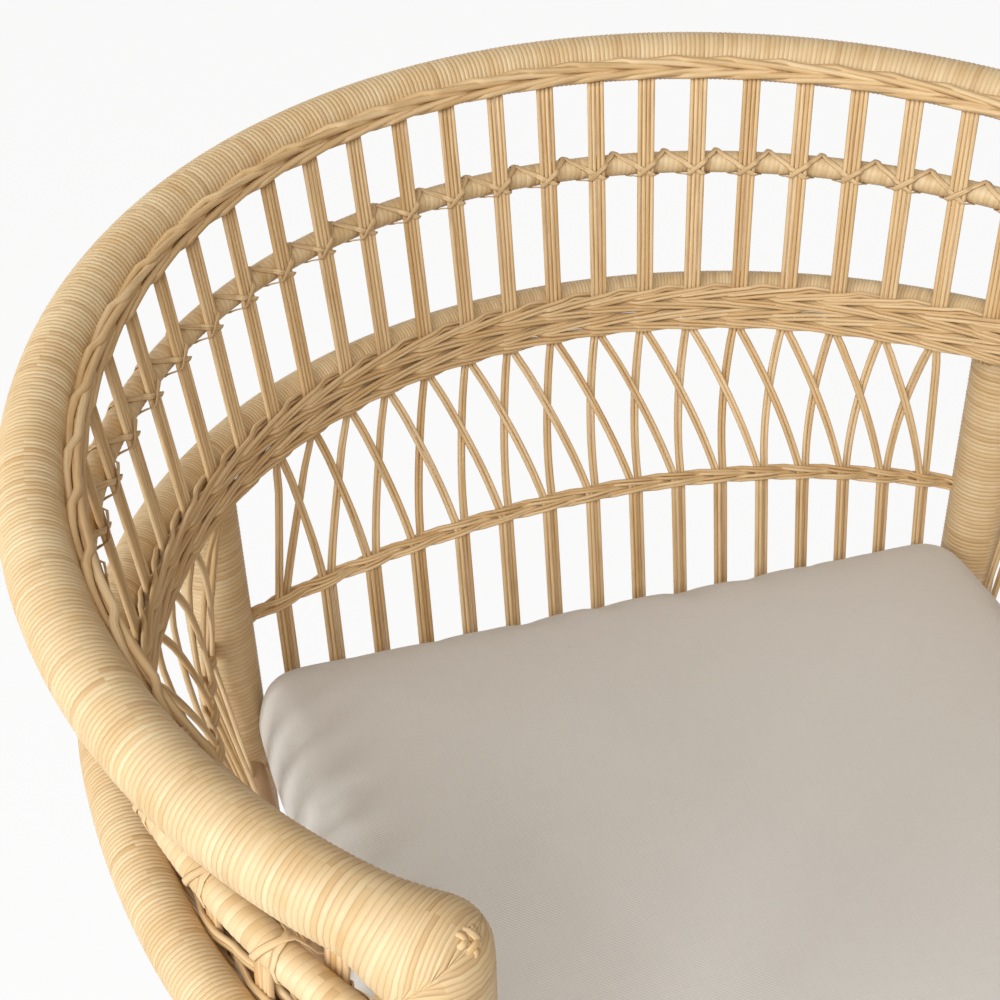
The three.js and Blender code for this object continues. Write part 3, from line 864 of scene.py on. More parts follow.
@dataclass(frozen=True)
class CottonFinish:
    """Undyed plain-woven cotton: a fine over-and-under weave with slubs and a few dark flecks."""

    yarn: float = 0.0011
    pale: Colour = (0.78, 0.755, 0.725)
    shade: Colour = (0.70, 0.675, 0.64)
    fleck: Colour = (0.30, 0.24, 0.18)
    slubs: Pair = (900.0, 45.0)
    clouds: float = 6.0
    flecks: float = 140.0
    roughness: float = 0.92
    sheen: float = 0.25
    sheen_roughness: float = 0.5
    bump: float = 0.3
    relief: float = 0.0006

    def build(self) -> bpy.types.Material:
        """Makes the material.

        Returns:
            A material on Object coordinates.
        """
        g = Graph(bpy.data.materials.new("cotton"))
        place = g.place()
        x, y, z = g.parts(place)
        wave = math.pi / self.yarn
        down = y + z
        weave = (x * wave).math("SINE") * (down * wave).math("SINE")
        fine, coarse = self.slubs
        slub = g.noise(g.vector(x * fine, down * coarse, 0.0), 1.0, 2.0) * 0.5
        slub = slub + g.noise(g.vector(x * coarse, down * fine, 4.0), 1.0, 2.0) * 0.5
        cloud = g.noise(place, self.clouds, 3.0)
        colour = g.mix((slub * 0.8 + cloud * 0.6 - 0.25).rise(0.0, 0.9), self.pale, self.shade)
        spots = g.noise(place, self.flecks, 1.0).rise(0.80, 0.86)
        colour = g.mix(spots * 0.5, colour, self.fleck)
        height = weave * 0.35 + slub * 0.9
        return g.surface({"Base Color": colour, "Roughness": self.roughness, "Sheen Weight": self.sheen,
                          "Sheen Roughness": self.sheen_roughness,
                          "Normal": g.bump(height, self.bump, self.relief)})


@dataclass(frozen=True)
class PolePath:
    """The middle line of a pole and its rings' half axes, as arrays over its length.

    The rings' first half axis, second half axis and the way along the pole are right-handed.
    """

    length: Array
    centre: Array
    across: Array
    deep: Array

    def at(self, values: Array, length: Array) -> Array:
        """One of the path's arrays, read at lengths of any shape along the pole."""
        return np.stack([np.interp(length, self.length, values[:, axis]) for axis in range(3)], axis=-1)


def pole_path(centre: Array, radius: Array | float, reference: Array) -> PolePath:
    """A round pole along points.

    Args:
        centre: points of the middle line, shape (points, 3).
        radius: the pole's radius, one number or one for each point.
        reference: a direction that the first half axis is nearest to.

    Returns:
        The path.
    """
    along = unit(np.gradient(centre, axis=0))
    deep = unit(np.cross(along, reference))
    across = np.cross(deep, along)
    size = np.broadcast_to(radius, len(centre))[:, None]
    return PolePath(running_length(centre), centre, across * size, deep * size)


@dataclass(frozen=True)
class Mitre:
    """A slanting cut through a pole's end, with a rounded outer edge, as where two poles meet.

    A point's place along its pole is a and its height towards the outside of the bend is h. The cut is the
    plane a = h, so a is held at h at most. On the outside, the last share of the way, the rounding, turns
    into an eighth of a circle.
    """

    centre: Array
    along: Array
    outside: Array
    rounding: float = 0.95
    least_height: float = 1e-6

    def past(self, points: Array) -> Array:
        """Which points lie on the joint's plane or past it."""
        away = points - self.centre
        return away @ self.along >= away @ self.outside

    def shaped(self, points: Array) -> Array:
        """Cuts and rounds a pole's end.

        Args:
            points: the pole's points, running on past the joint.

        Returns:
            The points, none of them past the joint.
        """
        a = (points - self.centre) @ self.along
        h = (points - self.centre) @ self.outside
        flat = h * (1.0 - self.rounding)
        turn = np.clip((a - flat) / np.maximum(h - flat, TINY), 0.0, 1.0) * math.pi / 4.0
        round_a = flat + (h - flat) * np.sin(turn)
        round_h = flat + (h - flat) * np.cos(turn)
        outer = h > self.least_height
        rounds = outer & (a > flat)
        new_a = np.where(rounds, round_a, np.where(outer, a, np.minimum(a, h)))
        new_h = np.where(rounds, round_h, h)
        shift = np.multiply.outer(new_a - a, self.along) + np.multiply.outer(new_h - h, self.outside)
        return points + shift


@dataclass(frozen=True)
class Winding:
    """Peel strip wound round a pole, turn beside turn, as a surface with one shallow hump for each turn."""

    pitch: float = 0.00315
    relief: float = 0.00045
    sides: int = 20
    rings_per_turn: int = 5
    hump_power: float = 2.5
    joint_reach: float = 4.0
    weld: float = 1e-6

    def mesh(self, name: str, path: PolePath, mitres: tuple[Mitre, ...] = ()) -> bpy.types.Mesh:
        """Makes the wound surface.

        The grid's long lines follow the strip's helix: point j of ring i lies j / sides of a pitch before the
        ring's own place, so a turn's edge stays a clean line. The surface is a hump across each turn.

        Args:
            name: the mesh's name.
            path: the pole.
            mitres: the joints at its ends.

        Returns:
            The mesh. Its UV map holds the count of turns and the share of a turn.
        """
        total = float(path.length[-1])
        step = self.pitch / self.rings_per_turn
        ring = np.arange(int(math.ceil((total + self.pitch) / step)) + 1)
        side = np.arange(self.sides)
        run = np.clip(ring[:, None] * step - side / self.sides * self.pitch, 0.0, total)
        turn = 2.0 * math.pi * side / self.sides
        across = path.at(path.across, run)
        deep = path.at(path.deep, run)
        radius = np.linalg.norm(across, axis=-1, keepdims=True)
        phase = (ring % self.rings_per_turn) / self.rings_per_turn
        hump = 1.0 - np.abs(2.0 * phase - 1.0) ** self.hump_power
        fullness = 1.0 - self.relief * (1.0 - hump[:, None, None]) / radius
        wheel = np.cos(turn)[:, None] * across + np.sin(turn)[:, None] * deep
        points = path.at(path.centre, run) + wheel * fullness
        held = (run <= 0.0) | (run >= total)
        for mitre in mitres:
            near = np.linalg.norm(points - mitre.centre, axis=-1) < self.joint_reach * radius[..., 0]
            held |= near & mitre.past(points)
            points[near] = mitre.shaped(points[near])
        index = ring[:, None] * self.sides + side
        wrapped = np.maximum(ring - self.rings_per_turn, 0) * self.sides
        after = np.concatenate([index[:, 1:], wrapped[:, None]], axis=1)
        faces = grid_quads(index, after).reshape(-1, 4)
        uv = grid_uv(ring / self.rings_per_turn, self.sides).reshape(-1, 4, 2)
        keep = ~held.ravel()[faces].all(axis=1) & (faces != np.roll(faces, 1, axis=1)).all(axis=1)
        points, caps = self.closed(points.reshape(-1, 3), faces[keep])
        loops = np.concatenate([uv[keep].reshape(-1, 2), np.zeros((caps.size, 2))])
        mesh = make_mesh(name, points, faces[keep].tolist() + caps.tolist(), loops, np.zeros(len(points)))
        smooth = np.arange(len(mesh.polygons)) < len(mesh.polygons) - len(caps)
        mesh.polygons.foreach_set("use_smooth", smooth)
        welded = bmesh.new()
        welded.from_mesh(mesh)
        bmesh.ops.remove_doubles(welded, verts=welded.verts, dist=self.weld)
        welded.to_mesh(mesh)
        welded.free()
        return mesh

    def closed(self, points: Array, faces: Array) -> tuple[Array, Array]:
        """Flat caps for the two open ends of a wound surface.

        Points that fall together count as one, so an edge that is folded back on itself has no cap.

        Args:
            points: vertices, ring after ring.
            faces: the surface's quads.

        Returns:
            The vertices with a hub for each end, and the caps' triangles round the hubs.
        """
        edges = np.stack([faces, np.roll(faces, -1, axis=1)], axis=-1).reshape(-1, 2)
        _, same = np.unique(np.round(points / self.weld), axis=0, return_inverse=True)
        welded = same.ravel()[edges]
        edges, welded = (pairs[welded[:, 0] != welded[:, 1]] for pairs in (edges, welded))
        code = welded.min(axis=1) * len(points) + welded.max(axis=1)
        _, first, uses = np.unique(code, return_index=True, return_counts=True)
        border = edges[first[uses % 2 == 1]]
        far = border[:, 0] > len(points) // 2
        hubs = [points[border[far == end, 0]].mean(axis=0) for end in (False, True)]
        caps = np.column_stack([border[:, 1], border[:, 0], len(points) + far])
        return np.concatenate([points, hubs]), caps


@dataclass(frozen=True)
class WoundFrame:
    """The wound poles: top rim with its turned-down corners, uprights, posts, mid ring and cross rail."""

    winding: Winding = Winding()
    rim_winding: Winding = Winding(pitch=0.0031)
    arm_tightness: float = 0.24
    tight_from: float = 1.0
    tight_span: float = 0.8
    ring_winding: Winding = Winding(pitch=0.0023, relief=0.00035)
    rail_winding: Winding = Winding(pitch=0.0036, relief=0.00015, sides=14)
    rim_steps: int = 400
    rim_swell: float = 0.03
    run_on: float = 1.2
    ring_overrun: float = math.radians(5.6)
    knot_half: float = 0.0050
    knot_strand: float = 0.0013
    knot_spacing: float = 1.1
    knot_sink: float = 2.2
    knot_rise: float = 1.03
    knot_steps: int = 17
    knot_sides: int = 8
    knot_flatness: float = 0.5
    knot_tones: Pair = (0.1, 0.7)
    pole_steps: int = 60

    def forward(self, side: int) -> Array:
        """The rim's level direction at the left (-1) or right (1) arm front, away from the back."""
        return np.array([side * math.cos(PLAN.rim_end), -math.sin(PLAN.rim_end), 0.0])

    def corner(self, side: int) -> Array:
        """The point where the middle lines of the rim and an upright meet."""
        return PLAN.upright * np.array([side, 1.0, 1.0]) - UP * PLAN.knuckle_drop

    def rim_path(self) -> PolePath:
        """The rim round the back, run on straight past both uprights for its mitres.

        Towards the arm fronts the pole grows to the uprights' size. Its middle falls by as much, so its top
        stays level. Its length is counted longer on the arms, where the turns lie closer.

        Returns:
            The path.
        """
        angle = np.linspace(-PLAN.rim_end, PLAN.rim_end, self.rim_steps)
        left_over = (PLAN.rim_end - np.abs(angle)) * PLAN.rim_radius
        swell = PLAN.knuckle_drop * ease(1.0 - left_over / self.rim_swell)
        rim = PLAN.rim_point(angle, PLAN.rim_radius) - swell[:, None] * UP
        reach = self.run_on * PLAN.upright_pole
        left = self.corner(-1) + self.forward(-1) * reach
        right = self.corner(1) + self.forward(1) * reach
        radius = PLAN.rim_pole + np.pad(swell, 1, "edge")
        path = pole_path(np.concatenate([left[None], rim, right[None]]), radius, UP)
        tighter = ease((np.abs(angle) - self.tight_from) / self.tight_span)
        closer = 1.0 + self.arm_tightness * np.pad(tighter, 1, "edge")
        steps = np.diff(path.length) * (closer[1:] + closer[:-1]) / 2.0
        return replace(path, length=np.concatenate([[0.0], np.cumsum(steps)]))

    def knot(self, material: bpy.types.Material, label: str, side: int) -> None:
        """The end of the winding, tucked into a small square knot on a corner.

        Args:
            material: its finish.
            label: the corner's name.
            side: -1 for the left corner, 1 for the right.
        """
        forward = self.forward(side)
        out = unit(UP + forward)
        down = unit(forward - UP)
        beside = np.cross(down, out)
        middle = self.corner(side) + out * (self.knot_rise * PLAN.upright_pole)
        t = np.linspace(-1.0, 1.0, self.knot_steps)
        weave = 0.5 * self.knot_strand * np.cos(math.pi * t)
        sink = self.knot_sink * self.knot_strand * np.abs(t) ** 4
        paths = []
        for row, sign in ((-1.0, 1.0), (1.0, -1.0)):
            for first, other in ((down, beside), (beside, down)):
                over = sign if first is down else -sign
                height = over * weave - sink
                beside_it = row * self.knot_spacing * self.knot_strand * other
                paths.append(middle + np.outer(self.knot_half * t, first) + beside_it + np.outer(height, out))
        points = np.array(paths)
        normals = np.broadcast_to(out, points.shape)
        tones = np.linspace(*self.knot_tones, len(paths))
        tubes = strand_tubes(points, normals, self.knot_strand, self.knot_sides, tones, self.knot_flatness)
        add_piece(tubes.mesh(f"corner_knot_{label}"), material, Slot.CANE, ())

    def build(self, peel: bpy.types.Material, smooth: bpy.types.Material, cane: bpy.types.Material) -> None:
        """Makes all wound poles.

        Args:
            peel: finish of the winding.
            smooth: finish of the cross rail's winding.
            cane: finish of the knots.
        """
        ends = tuple(Mitre(self.corner(side), self.forward(side), UP) for _, side in SIDES)
        add_piece(self.rim_winding.mesh("wound_rim", self.rim_path(), ends), peel, Slot.PEEL, ["top_rim"])
        span = np.linspace(-1.0, 1.0, self.rim_steps)
        ring_end = PLAN.band_stake_end + self.ring_overrun
        ring_height = PLAN.band_top - PLAN.ring_drop
        ring = pole_path(PLAN.band_point(span * ring_end, PLAN.ring_outset, ring_height), PLAN.ring_pole, UP)
        add_piece(self.ring_winding.mesh("wound_mid_ring", ring), peel, Slot.PEEL, ["mid_ring"])
        rail_end = PLAN.last_stake + PLAN.cross_rail_overrun
        rail = pole_path(cross_rail_line(span * rail_end), PLAN.cross_rail_pole, UP)
        add_piece(self.rail_winding.mesh("wound_cross_rail", rail), smooth, Slot.PEEL, ["cross_rail"])
        over_post = PLAN.band_point(np.array(PLAN.post_angle), PLAN.ring_outset, ring_height)
        inwards = unit((over_post - PLAN.post) * LEVEL)
        for label, side in SIDES:
            mirror = np.array([side, 1.0, 1.0])
            joint = Mitre(self.corner(side), UP, self.forward(side))
            bevel = Mitre(over_post * mirror, UP, inwards * mirror)
            upright_top = self.corner(side)[2] + self.run_on * PLAN.upright_pole
            for kind, foot, top, radius, mitre in (
                ("front_upright", PLAN.upright, upright_top, PLAN.upright_pole, joint),
                ("rear_post", PLAN.post, ring_height - PLAN.post_drop, PLAN.post_pole, bevel),
            ):
                height = np.linspace(top, 0.0, self.pole_steps)[:, None]
                line = foot * np.array([side, 1.0, 0.0]) + height * UP
                path = pole_path(line, radius, FRONT)
                piece = self.winding.mesh(f"wound_{kind}_{label}", path, (mitre,))
                add_piece(piece, peel, Slot.PEEL, [f"{kind}_{label}"])
            self.knot(cane, label, side)


def cross_rail_line(stake: Array) -> Array:
    """The cross rail's middle line, outside the stakes.

    Args:
        stake: places along the wall.

    Returns:
        Points of shape stake.shape + (3,).
    """
    share = np.abs(stake) / PLAN.last_stake
    drop = PLAN.cross_rail_drop + PLAN.cross_rail_fall * share**PLAN.cross_rail_fall_power
    _, out = PLAN.wall_frame(PLAN.upper_wall, stake, drop)
    outset = PLAN.cane_radius + 2.0 * PLAN.clearance + PLAN.cross_rail_pole
    return PLAN.upper_wall(stake, drop) + out * outset


@dataclass(frozen=True)
class StakeWall:
    """The stakes: bundles of four canes that cross over to their neighbours below the band."""

    head_drop: float = 0.03
    canes: int = 4
    sides: int = 8
    upper_steps: int = 12
    lattice_steps: int = 16
    foot_steps: int = 8
    back_bend: float = 0.5
    side_bend: float = 0.2
    band_steps: int = 5
    waver: float = 0.0001
    waves: Triple = (7.0, 17.0, 9.0)
    quick_share: float = 0.6
    bulge_share: float = 0.8
    radius: float = 0.00145
    spacing: float = 1.96
    layer_ease: float = 0.2
    frame_range: Pair = (0.01, 1.98)
    tone_shape: Pair = (1.6, 2.2)

    def cane_path(self, stake: float, cane: int, chance: np.random.Generator) -> tuple[Array, Array]:
        """One cane from the rim down to the seat rail.

        Args:
            stake: the bundle's place.
            cane: its number in the bundle, from 0 on the left.
            chance: the source of its small unevenness.

        Returns:
            Its points and the wall's outward normals.
        """
        offset = (cane - (self.canes - 1) / 2.0) * self.spacing * self.radius
        v = np.linspace(self.head_drop, 1.0, self.upper_steps)
        places = np.full(v.shape, stake)
        across, out = PLAN.wall_frame(PLAN.upper_wall, places, v)
        points = [PLAN.upper_wall(places, v) + across * offset]
        normals = [out]
        heights = np.linspace(PLAN.band_top, PLAN.bend_height, self.band_steps)[1:]
        places = np.full(heights.shape, stake)
        across = PLAN.band_across(places, heights)
        points.append(PLAN.at_band(places, heights) + across * offset)
        normals.append(np.cross(UP, across))
        if abs(stake) != PLAN.post_stake:
            below, facing = self.lower_path(stake, cane, offset)
            points.append(below)
            normals.append(facing)
        path = np.concatenate(points)
        facing = np.concatenate(normals)
        t = np.linspace(0.0, 1.0, len(path))
        phase = chance.uniform(0.0, 2.0 * math.pi, 3)
        slow, quick, bulging = (np.sin(wave * t + start) for wave, start in zip(self.waves, phase))
        sway = self.waver * (slow + self.quick_share * quick)
        aside = unit(np.cross(facing, np.gradient(path, axis=0)))
        bulge = self.waver * self.bulge_share * bulging
        return path + aside * sway[:, None] + facing * bulge[:, None], facing

    def lower_path(self, stake: float, cane: int, offset: float) -> tuple[Array, Array]:
        """A cane below the band: it crosses to the next bundle, or runs straight down beside a post.

        Args:
            stake: the bundle's place.
            cane: its number in the bundle.
            offset: its distance from the bundle's middle.

        Returns:
            Its points and the wall's outward normals.
        """
        panel = PLAN.panel_of(stake)
        turn = -1.0 if cane < self.canes / 2 else 1.0
        neighbour = abs(stake + turn)
        straight = neighbour == PLAN.post_stake or neighbour > PLAN.last_stake
        pair = turn * self.radius * self.spacing
        within = offset - pair
        pitch = PLAN.panel_pitch(panel)
        start = (pair + within) / pitch
        arrive = start if straight else (within - pair) / pitch + turn
        depth = (turn if straight else -turn) * PLAN.layer
        lattice = np.linspace(0.0, 1.0, self.lattice_steps + 1)[1:]
        foot = np.linspace(1.0, 2.0, self.foot_steps + 1)[1:]
        v = np.concatenate([lattice, foot])
        bend = self.back_bend if panel is Panel.BACK else self.side_bend
        share = np.where(v < 1.0, (1.0 - bend) * v + bend * np.sin(v * math.pi / 2.0), 1.0)
        places = stake + start + share * (arrive - start)
        _, out = PLAN.wall_frame(partial(PLAN.lower_wall, panel), places, np.clip(v, *self.frame_range))
        level = ease(v / self.layer_ease) * depth
        return PLAN.lower_wall(panel, places, v) + out * level[:, None], out

    def build(self, cane: bpy.types.Material) -> None:
        """Makes one piece for each stake.

        Args:
            cane: its finish.
        """
        chance = np.random.default_rng(RANDOM_SEED)
        for label, side in SIDES:
            for number in range(PLAN.stakes_per_side):
                stake = side * (number + 0.5)
                made = [self.cane_path(stake, cane_number, chance) for cane_number in range(self.canes)]
                points, normals = map(np.array, zip(*made))
                tones = chance.beta(*self.tone_shape, self.canes)
                tubes = strand_tubes(points, normals, self.radius, self.sides, tones)
                node = f"stake_{label}_{number + 1:02d}"
                add_piece(tubes.mesh(f"canes_{label}_{number + 1:02d}"), cane, Slot.CANE, [node])


class Weave(Enum):
    """How many stakes a weaver passes in front of before it goes behind one."""

    PAIRING = 1
    WALING = 2


@dataclass(frozen=True)
class TwinedRows:
    """Rows of twining: weavers of side-by-side canes that pass in front of stakes and then behind one.

    With n the stakes in front plus one, a row has n weavers, each one stake behind the last. From x = 0,
    where a weaver comes out, to x = n - 1, where it goes in, its height runs straight from one edge of the
    row to the other and its depth from proud to close, so that each weaver covers the end of the one before.
    Behind the next stake it runs back. The slant changes from row to row, which gives chevrons.
    """

    rows: int
    row_height: float
    weave: Weave
    canes: int = 2
    radius: float = 0.0012
    proud: float = 0.0052
    close: float = 0.0030
    behind: float = 0.0027
    slant: float = 0.55
    turn_in: float = 0.4
    first_lean: float = 1.0
    top_slant: float = 0.0
    unevenness: float = 0.00018
    waves: Pair = (1.7, 0.6)
    spacing: float = 1.9
    tone_shape: Pair = (1.8, 2.0)
    overrun: float = 0.8
    seed: int = 7
    steps_per_stake: int = 10
    sides: int = 6

    def mesh(self, name: str, line: Line, first: float, last: float) -> bpy.types.Mesh:
        """Makes the rows.

        Args:
            name: the mesh's name.
            line: the stakes' line.
            first: the first stake.
            last: the last stake; the rows run on a little past both.

        Returns:
            The mesh.
        """
        chance = np.random.default_rng(self.seed)
        first, last = first - self.overrun, last + self.overrun
        places = np.linspace(first, last, int((last - first) * self.steps_per_stake) + 1)
        base, out, up = line(places)
        over = self.weave.value
        period = over + 1
        paths = []
        for row in range(self.rows):
            middle = (row - (self.rows - 1) / 2.0) * self.row_height
            lean = self.first_lean * (1.0 if row % 2 == 0 else -1.0)
            slant = self.slant + (self.top_slant if row == self.rows - 1 else 0.0)
            for weaver in range(period):
                x = np.mod(places - weaver - row, period)
                shown = ease(x / self.turn_in) * ease((over - x) / self.turn_in)
                hidden = ease((x - over) / self.turn_in) * ease((period - x) / self.turn_in)
                front = self.proud + (self.close - self.proud) * np.clip(x / over, 0.0, 1.0)
                depth = hidden * self.behind - shown * front
                rise = np.where(x < over, x / over - 0.5, 0.5 - (x - over))
                for cane in range(self.canes):
                    stack = (cane - (self.canes - 1) / 2.0) * self.spacing * self.radius
                    phase = chance.uniform(0.0, 2.0 * math.pi, 2)
                    quick, slow = (np.sin(places * wave + start) for wave, start in zip(self.waves, phase))
                    uneven = self.unevenness * (quick + slow)
                    height = middle + lean * slant * self.row_height * rise + stack + uneven
                    paths.append(base + out * depth[:, None] + up * height[:, None])
        points = np.array(paths)
        normals = np.broadcast_to(out, points.shape)
        tones = chance.beta(*self.tone_shape, len(paths))
        return strand_tubes(points, normals, self.radius, self.sides, tones).mesh(name)


@dataclass(frozen=True)
class TwinedBands:
    """The twining under the rim, at the mid band and at the lower twine of each panel."""

    rim: TwinedRows = TwinedRows(rows=2, row_height=0.0058, weave=Weave.WALING, canes=1, radius=0.00220,
                                 proud=0.0040, close=0.0028, behind=0.0012, slant=0.85, turn_in=0.32,
                                 overrun=0.3, seed=3)
    mid: TwinedRows = TwinedRows(rows=4, row_height=0.0078, weave=Weave.WALING, radius=0.0014,
                                 first_lean=-1.0, slant=0.7, top_slant=0.25, proud=0.0056,
                                 overrun=0.55, seed=5)
    low: TwinedRows = TwinedRows(rows=2, row_height=0.0050, weave=Weave.PAIRING, proud=0.0034, slant=0.4)
    rim_drop: float = 0.0022
    arm_drop: float = 0.010
    arm_drop_from: float = 16.5
    arm_drop_span: float = 3.0
    bend_reach: float = 0.05

    def rim_line(self, stake: Array) -> tuple[Array, Array, Array]:
        """The stakes' line just under the rim.

        Args:
            stake: places on the wall.

        Returns:
            Points, outward normals and the way up.
        """
        top = PLAN.upper_wall(stake, np.zeros(stake.shape))
        further = ease((np.abs(stake) - self.arm_drop_from) / self.arm_drop_span)
        lower = self.rim_drop + self.arm_drop * further
        drop = lower / (top[:, 2] - PLAN.band_top)
        _, out = PLAN.wall_frame(PLAN.upper_wall, stake, drop)
        return PLAN.upper_wall(stake, drop), out, unit(top - PLAN.upper_wall(stake, np.ones(stake.shape)))

    def mid_line(self, stake: Array) -> tuple[Array, Array, Array]:
        """The stakes' line at the middle of the mid band.

        Args:
            stake: places on the wall.

        Returns:
            Points, outward normals and the way up.
        """
        middle = PLAN.band_bottom + PLAN.band_height / 2.0
        points = PLAN.at_band(stake, middle)
        return points, np.cross(UP, PLAN.band_across(stake, middle)), np.broadcast_to(UP, points.shape)

    def low_line(self, panel: Panel, stake: Array) -> tuple[Array, Array, Array]:
        """The stakes' line at a panel's lower twine, where the wall bends.

        Args:
            panel: which panel.
            stake: places on it, counted as positive at both sides.

        Returns:
            Points, outward normals and the way up.
        """
        surface = partial(PLAN.lower_wall, panel)
        signed = -stake if panel is Panel.LEFT else stake
        level = np.ones(stake.shape)
        _, above = PLAN.wall_frame(surface, signed, level - self.bend_reach)
        _, below = PLAN.wall_frame(surface, signed, level + self.bend_reach)
        out = unit(above + below)
        across = unit(surface(signed + NEARBY, level) - surface(signed - NEARBY, level))
        return surface(signed, level), out, unit(np.cross(across, -out))

    def build(self, cane: bpy.types.Material) -> None:
        """Makes all twined rows.

        Args:
            cane: their finish.
        """
        end = PLAN.last_stake
        add_piece(self.rim.mesh("rim_twining", self.rim_line, -end, end), cane, Slot.CANE, ["rim_twine"])
        add_piece(self.mid.mesh("mid_band_twining", self.mid_line, -end, end), cane, Slot.CANE, ["mid_band"])
        for panel in Panel:
            label = panel.name.lower()
            at_back = panel is Panel.BACK
            first, last = (-PLAN.back_stake, PLAN.back_stake) if at_back else (PLAN.post_stake + 1.0, end)
            mesh = self.low.mesh(f"lower_twining_{label}", partial(self.low_line, panel), first, last)
            add_piece(mesh, cane, Slot.CANE, [f"lower_twine_{label}"])


@dataclass(frozen=True)
class RailLashing:
    """Two strips of peel wound the opposite way round the cross rail, which cross in front of each stake.

    Each strip's angle round the rail grows with the place along the wall: slowly where it lies on the inside,
    across a stake, and quickly on the outside. On the inside its height is nearly a straight line. It stands
    off the rail by the stake in front of a stake, and by a peak on top of the rail.
    """

    half_width: float = 0.0017
    flatness: float = 0.26
    sides: int = 8
    steps_per_stake: int = 30
    rise_from: float = -0.30
    rise_to: float = 0.40
    fall_from: float = -0.58
    fall_to: float = 0.28
    straightness: float = 0.7
    peak: float = 0.0014
    peak_power: int = 8
    overrun: float = 0.45
    tones: Pair = (0.3, 0.1)
    stake_reach: float = 0.15
    stake_ease: float = 0.13

    def strand(self, rising: bool, lift: float) -> tuple[Array, Array]:
        """One strip's path.

        Args:
            rising: True for the strip that climbs to the right over each stake.
            lift: how far it lies off what is under it.

        Returns:
            Points and the directions away from the rail.
        """
        end = PLAN.last_stake + self.overrun
        places = np.linspace(-end, end, int(2.0 * end * self.steps_per_stake))
        start, stop = (self.rise_from, self.rise_to) if rising else (self.fall_from, self.fall_to)
        local = places - (np.floor(places - 0.5 - start) + 0.5)
        inside = np.clip((local - start) / (stop - start), 0.0, 1.0)
        outside = np.clip((local - stop) / (start + 1.0 - stop), 0.0, 1.0)
        straight = np.arcsin(2.0 * inside - 1.0)
        across_stake = math.pi * (inside - 0.5) * (1.0 - self.straightness) + straight * self.straightness
        turn = (across_stake + math.pi * outside) * (1.0 if rising else -1.0)
        line = cross_rail_line(places)
        across = unit(np.gradient(line, axis=0))
        _, normal = PLAN.wall_frame(PLAN.upper_wall, places, np.full(places.shape, PLAN.cross_rail_drop))
        up = unit(np.cross(across, normal))
        out = np.cross(up, across)
        gap = np.abs(places - 0.5 - np.round(places - 0.5))
        before = 1.0 - ease((gap - self.stake_reach) / self.stake_ease)
        half_thick = self.half_width * self.flatness
        reach = PLAN.cross_rail_pole + half_thick + lift * np.clip(np.cos(turn), 0.0, 1.0)
        reach = reach + self.peak * np.clip(np.sin(turn), 0.0, 1.0) ** self.peak_power
        stake_face = PLAN.cross_rail_pole + 2.0 * PLAN.cane_radius + 2.0 * PLAN.clearance
        proud = stake_face + half_thick + lift
        level = reach * np.cos(turn)
        inwards = np.where(level > 0.0, np.maximum(level, proud * before), level)
        points = line - out * inwards[:, None] + up * (reach * np.sin(turn))[:, None]
        return points, unit(points - line)

    def build(self, peel: bpy.types.Material) -> None:
        """Makes the lashing.

        Args:
            peel: its finish.
        """
        made = [self.strand(True, 2.0 * self.half_width * self.flatness), self.strand(False, 0.0)]
        points, normals = map(np.array, zip(*made))
        tones = np.array(self.tones)
        tubes = strand_tubes(points, normals, self.half_width, self.sides, tones, self.flatness)
        add_piece(tubes.mesh("rail_lashing"), peel, Slot.CANE, ())


@dataclass(frozen=True)
class SeatFrame:
    """The bare seat rails between the posts, and the slatted deck on them."""

    sides: int = 20
    steps: int = 90
    node_gap: float = 0.21
    node_swell: float = 0.0007
    node_half: float = 0.006
    node_shift: float = 0.06
    inset: float = 0.7

    def build(self, pole: bpy.types.Material, wood: bpy.types.Material) -> None:
        """Makes the rails and gives the deck its finish.

        A rail's radius swells a little at the growth joints of the cane.

        Args:
            pole: finish of the rails.
            wood: finish of the deck.
        """
        height = PLAN.rail_top - PLAN.rail_pole
        back, front = (corner * LEVEL + UP * height for corner in (PLAN.post, PLAN.upright))
        mirror = np.array([-1.0, 1.0, 1.0])
        runs = {
            "back": (back * mirror, back),
            "front": (front * mirror, front),
            "left": (back * mirror, front * mirror),
            "right": (back, front),
        }
        for number, (label, (start, stop)) in enumerate(runs.items()):
            way = unit(stop - start)
            inset = PLAN.post_pole * self.inset
            t = np.linspace(0.0, 1.0, self.steps)[:, None]
            centre = (start + way * inset) * (1.0 - t) + (stop - way * inset) * t
            run = t[:, 0] * float(np.linalg.norm(stop - start)) + self.node_shift * number
            joint = np.abs((run / self.node_gap) % 1.0 - 0.5) * self.node_gap
            swell = np.exp(-((joint / self.node_half) ** 2))
            radius = (PLAN.rail_pole - self.node_swell + self.node_swell * swell)[None, :, None]
            deep = unit(np.cross(way, UP))
            across = np.cross(deep, way)
            tubes = Tubes(centre[None], across * radius, deep * radius, self.sides, np.zeros(1))
            add_piece(tubes.mesh(f"seat_rail_pole_{label}"), pole, Slot.PEEL, [f"seat_rail_{label}"])
        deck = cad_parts["seat_deck"]
        deck.data.materials.clear()
        deck.data.materials.append(wood)


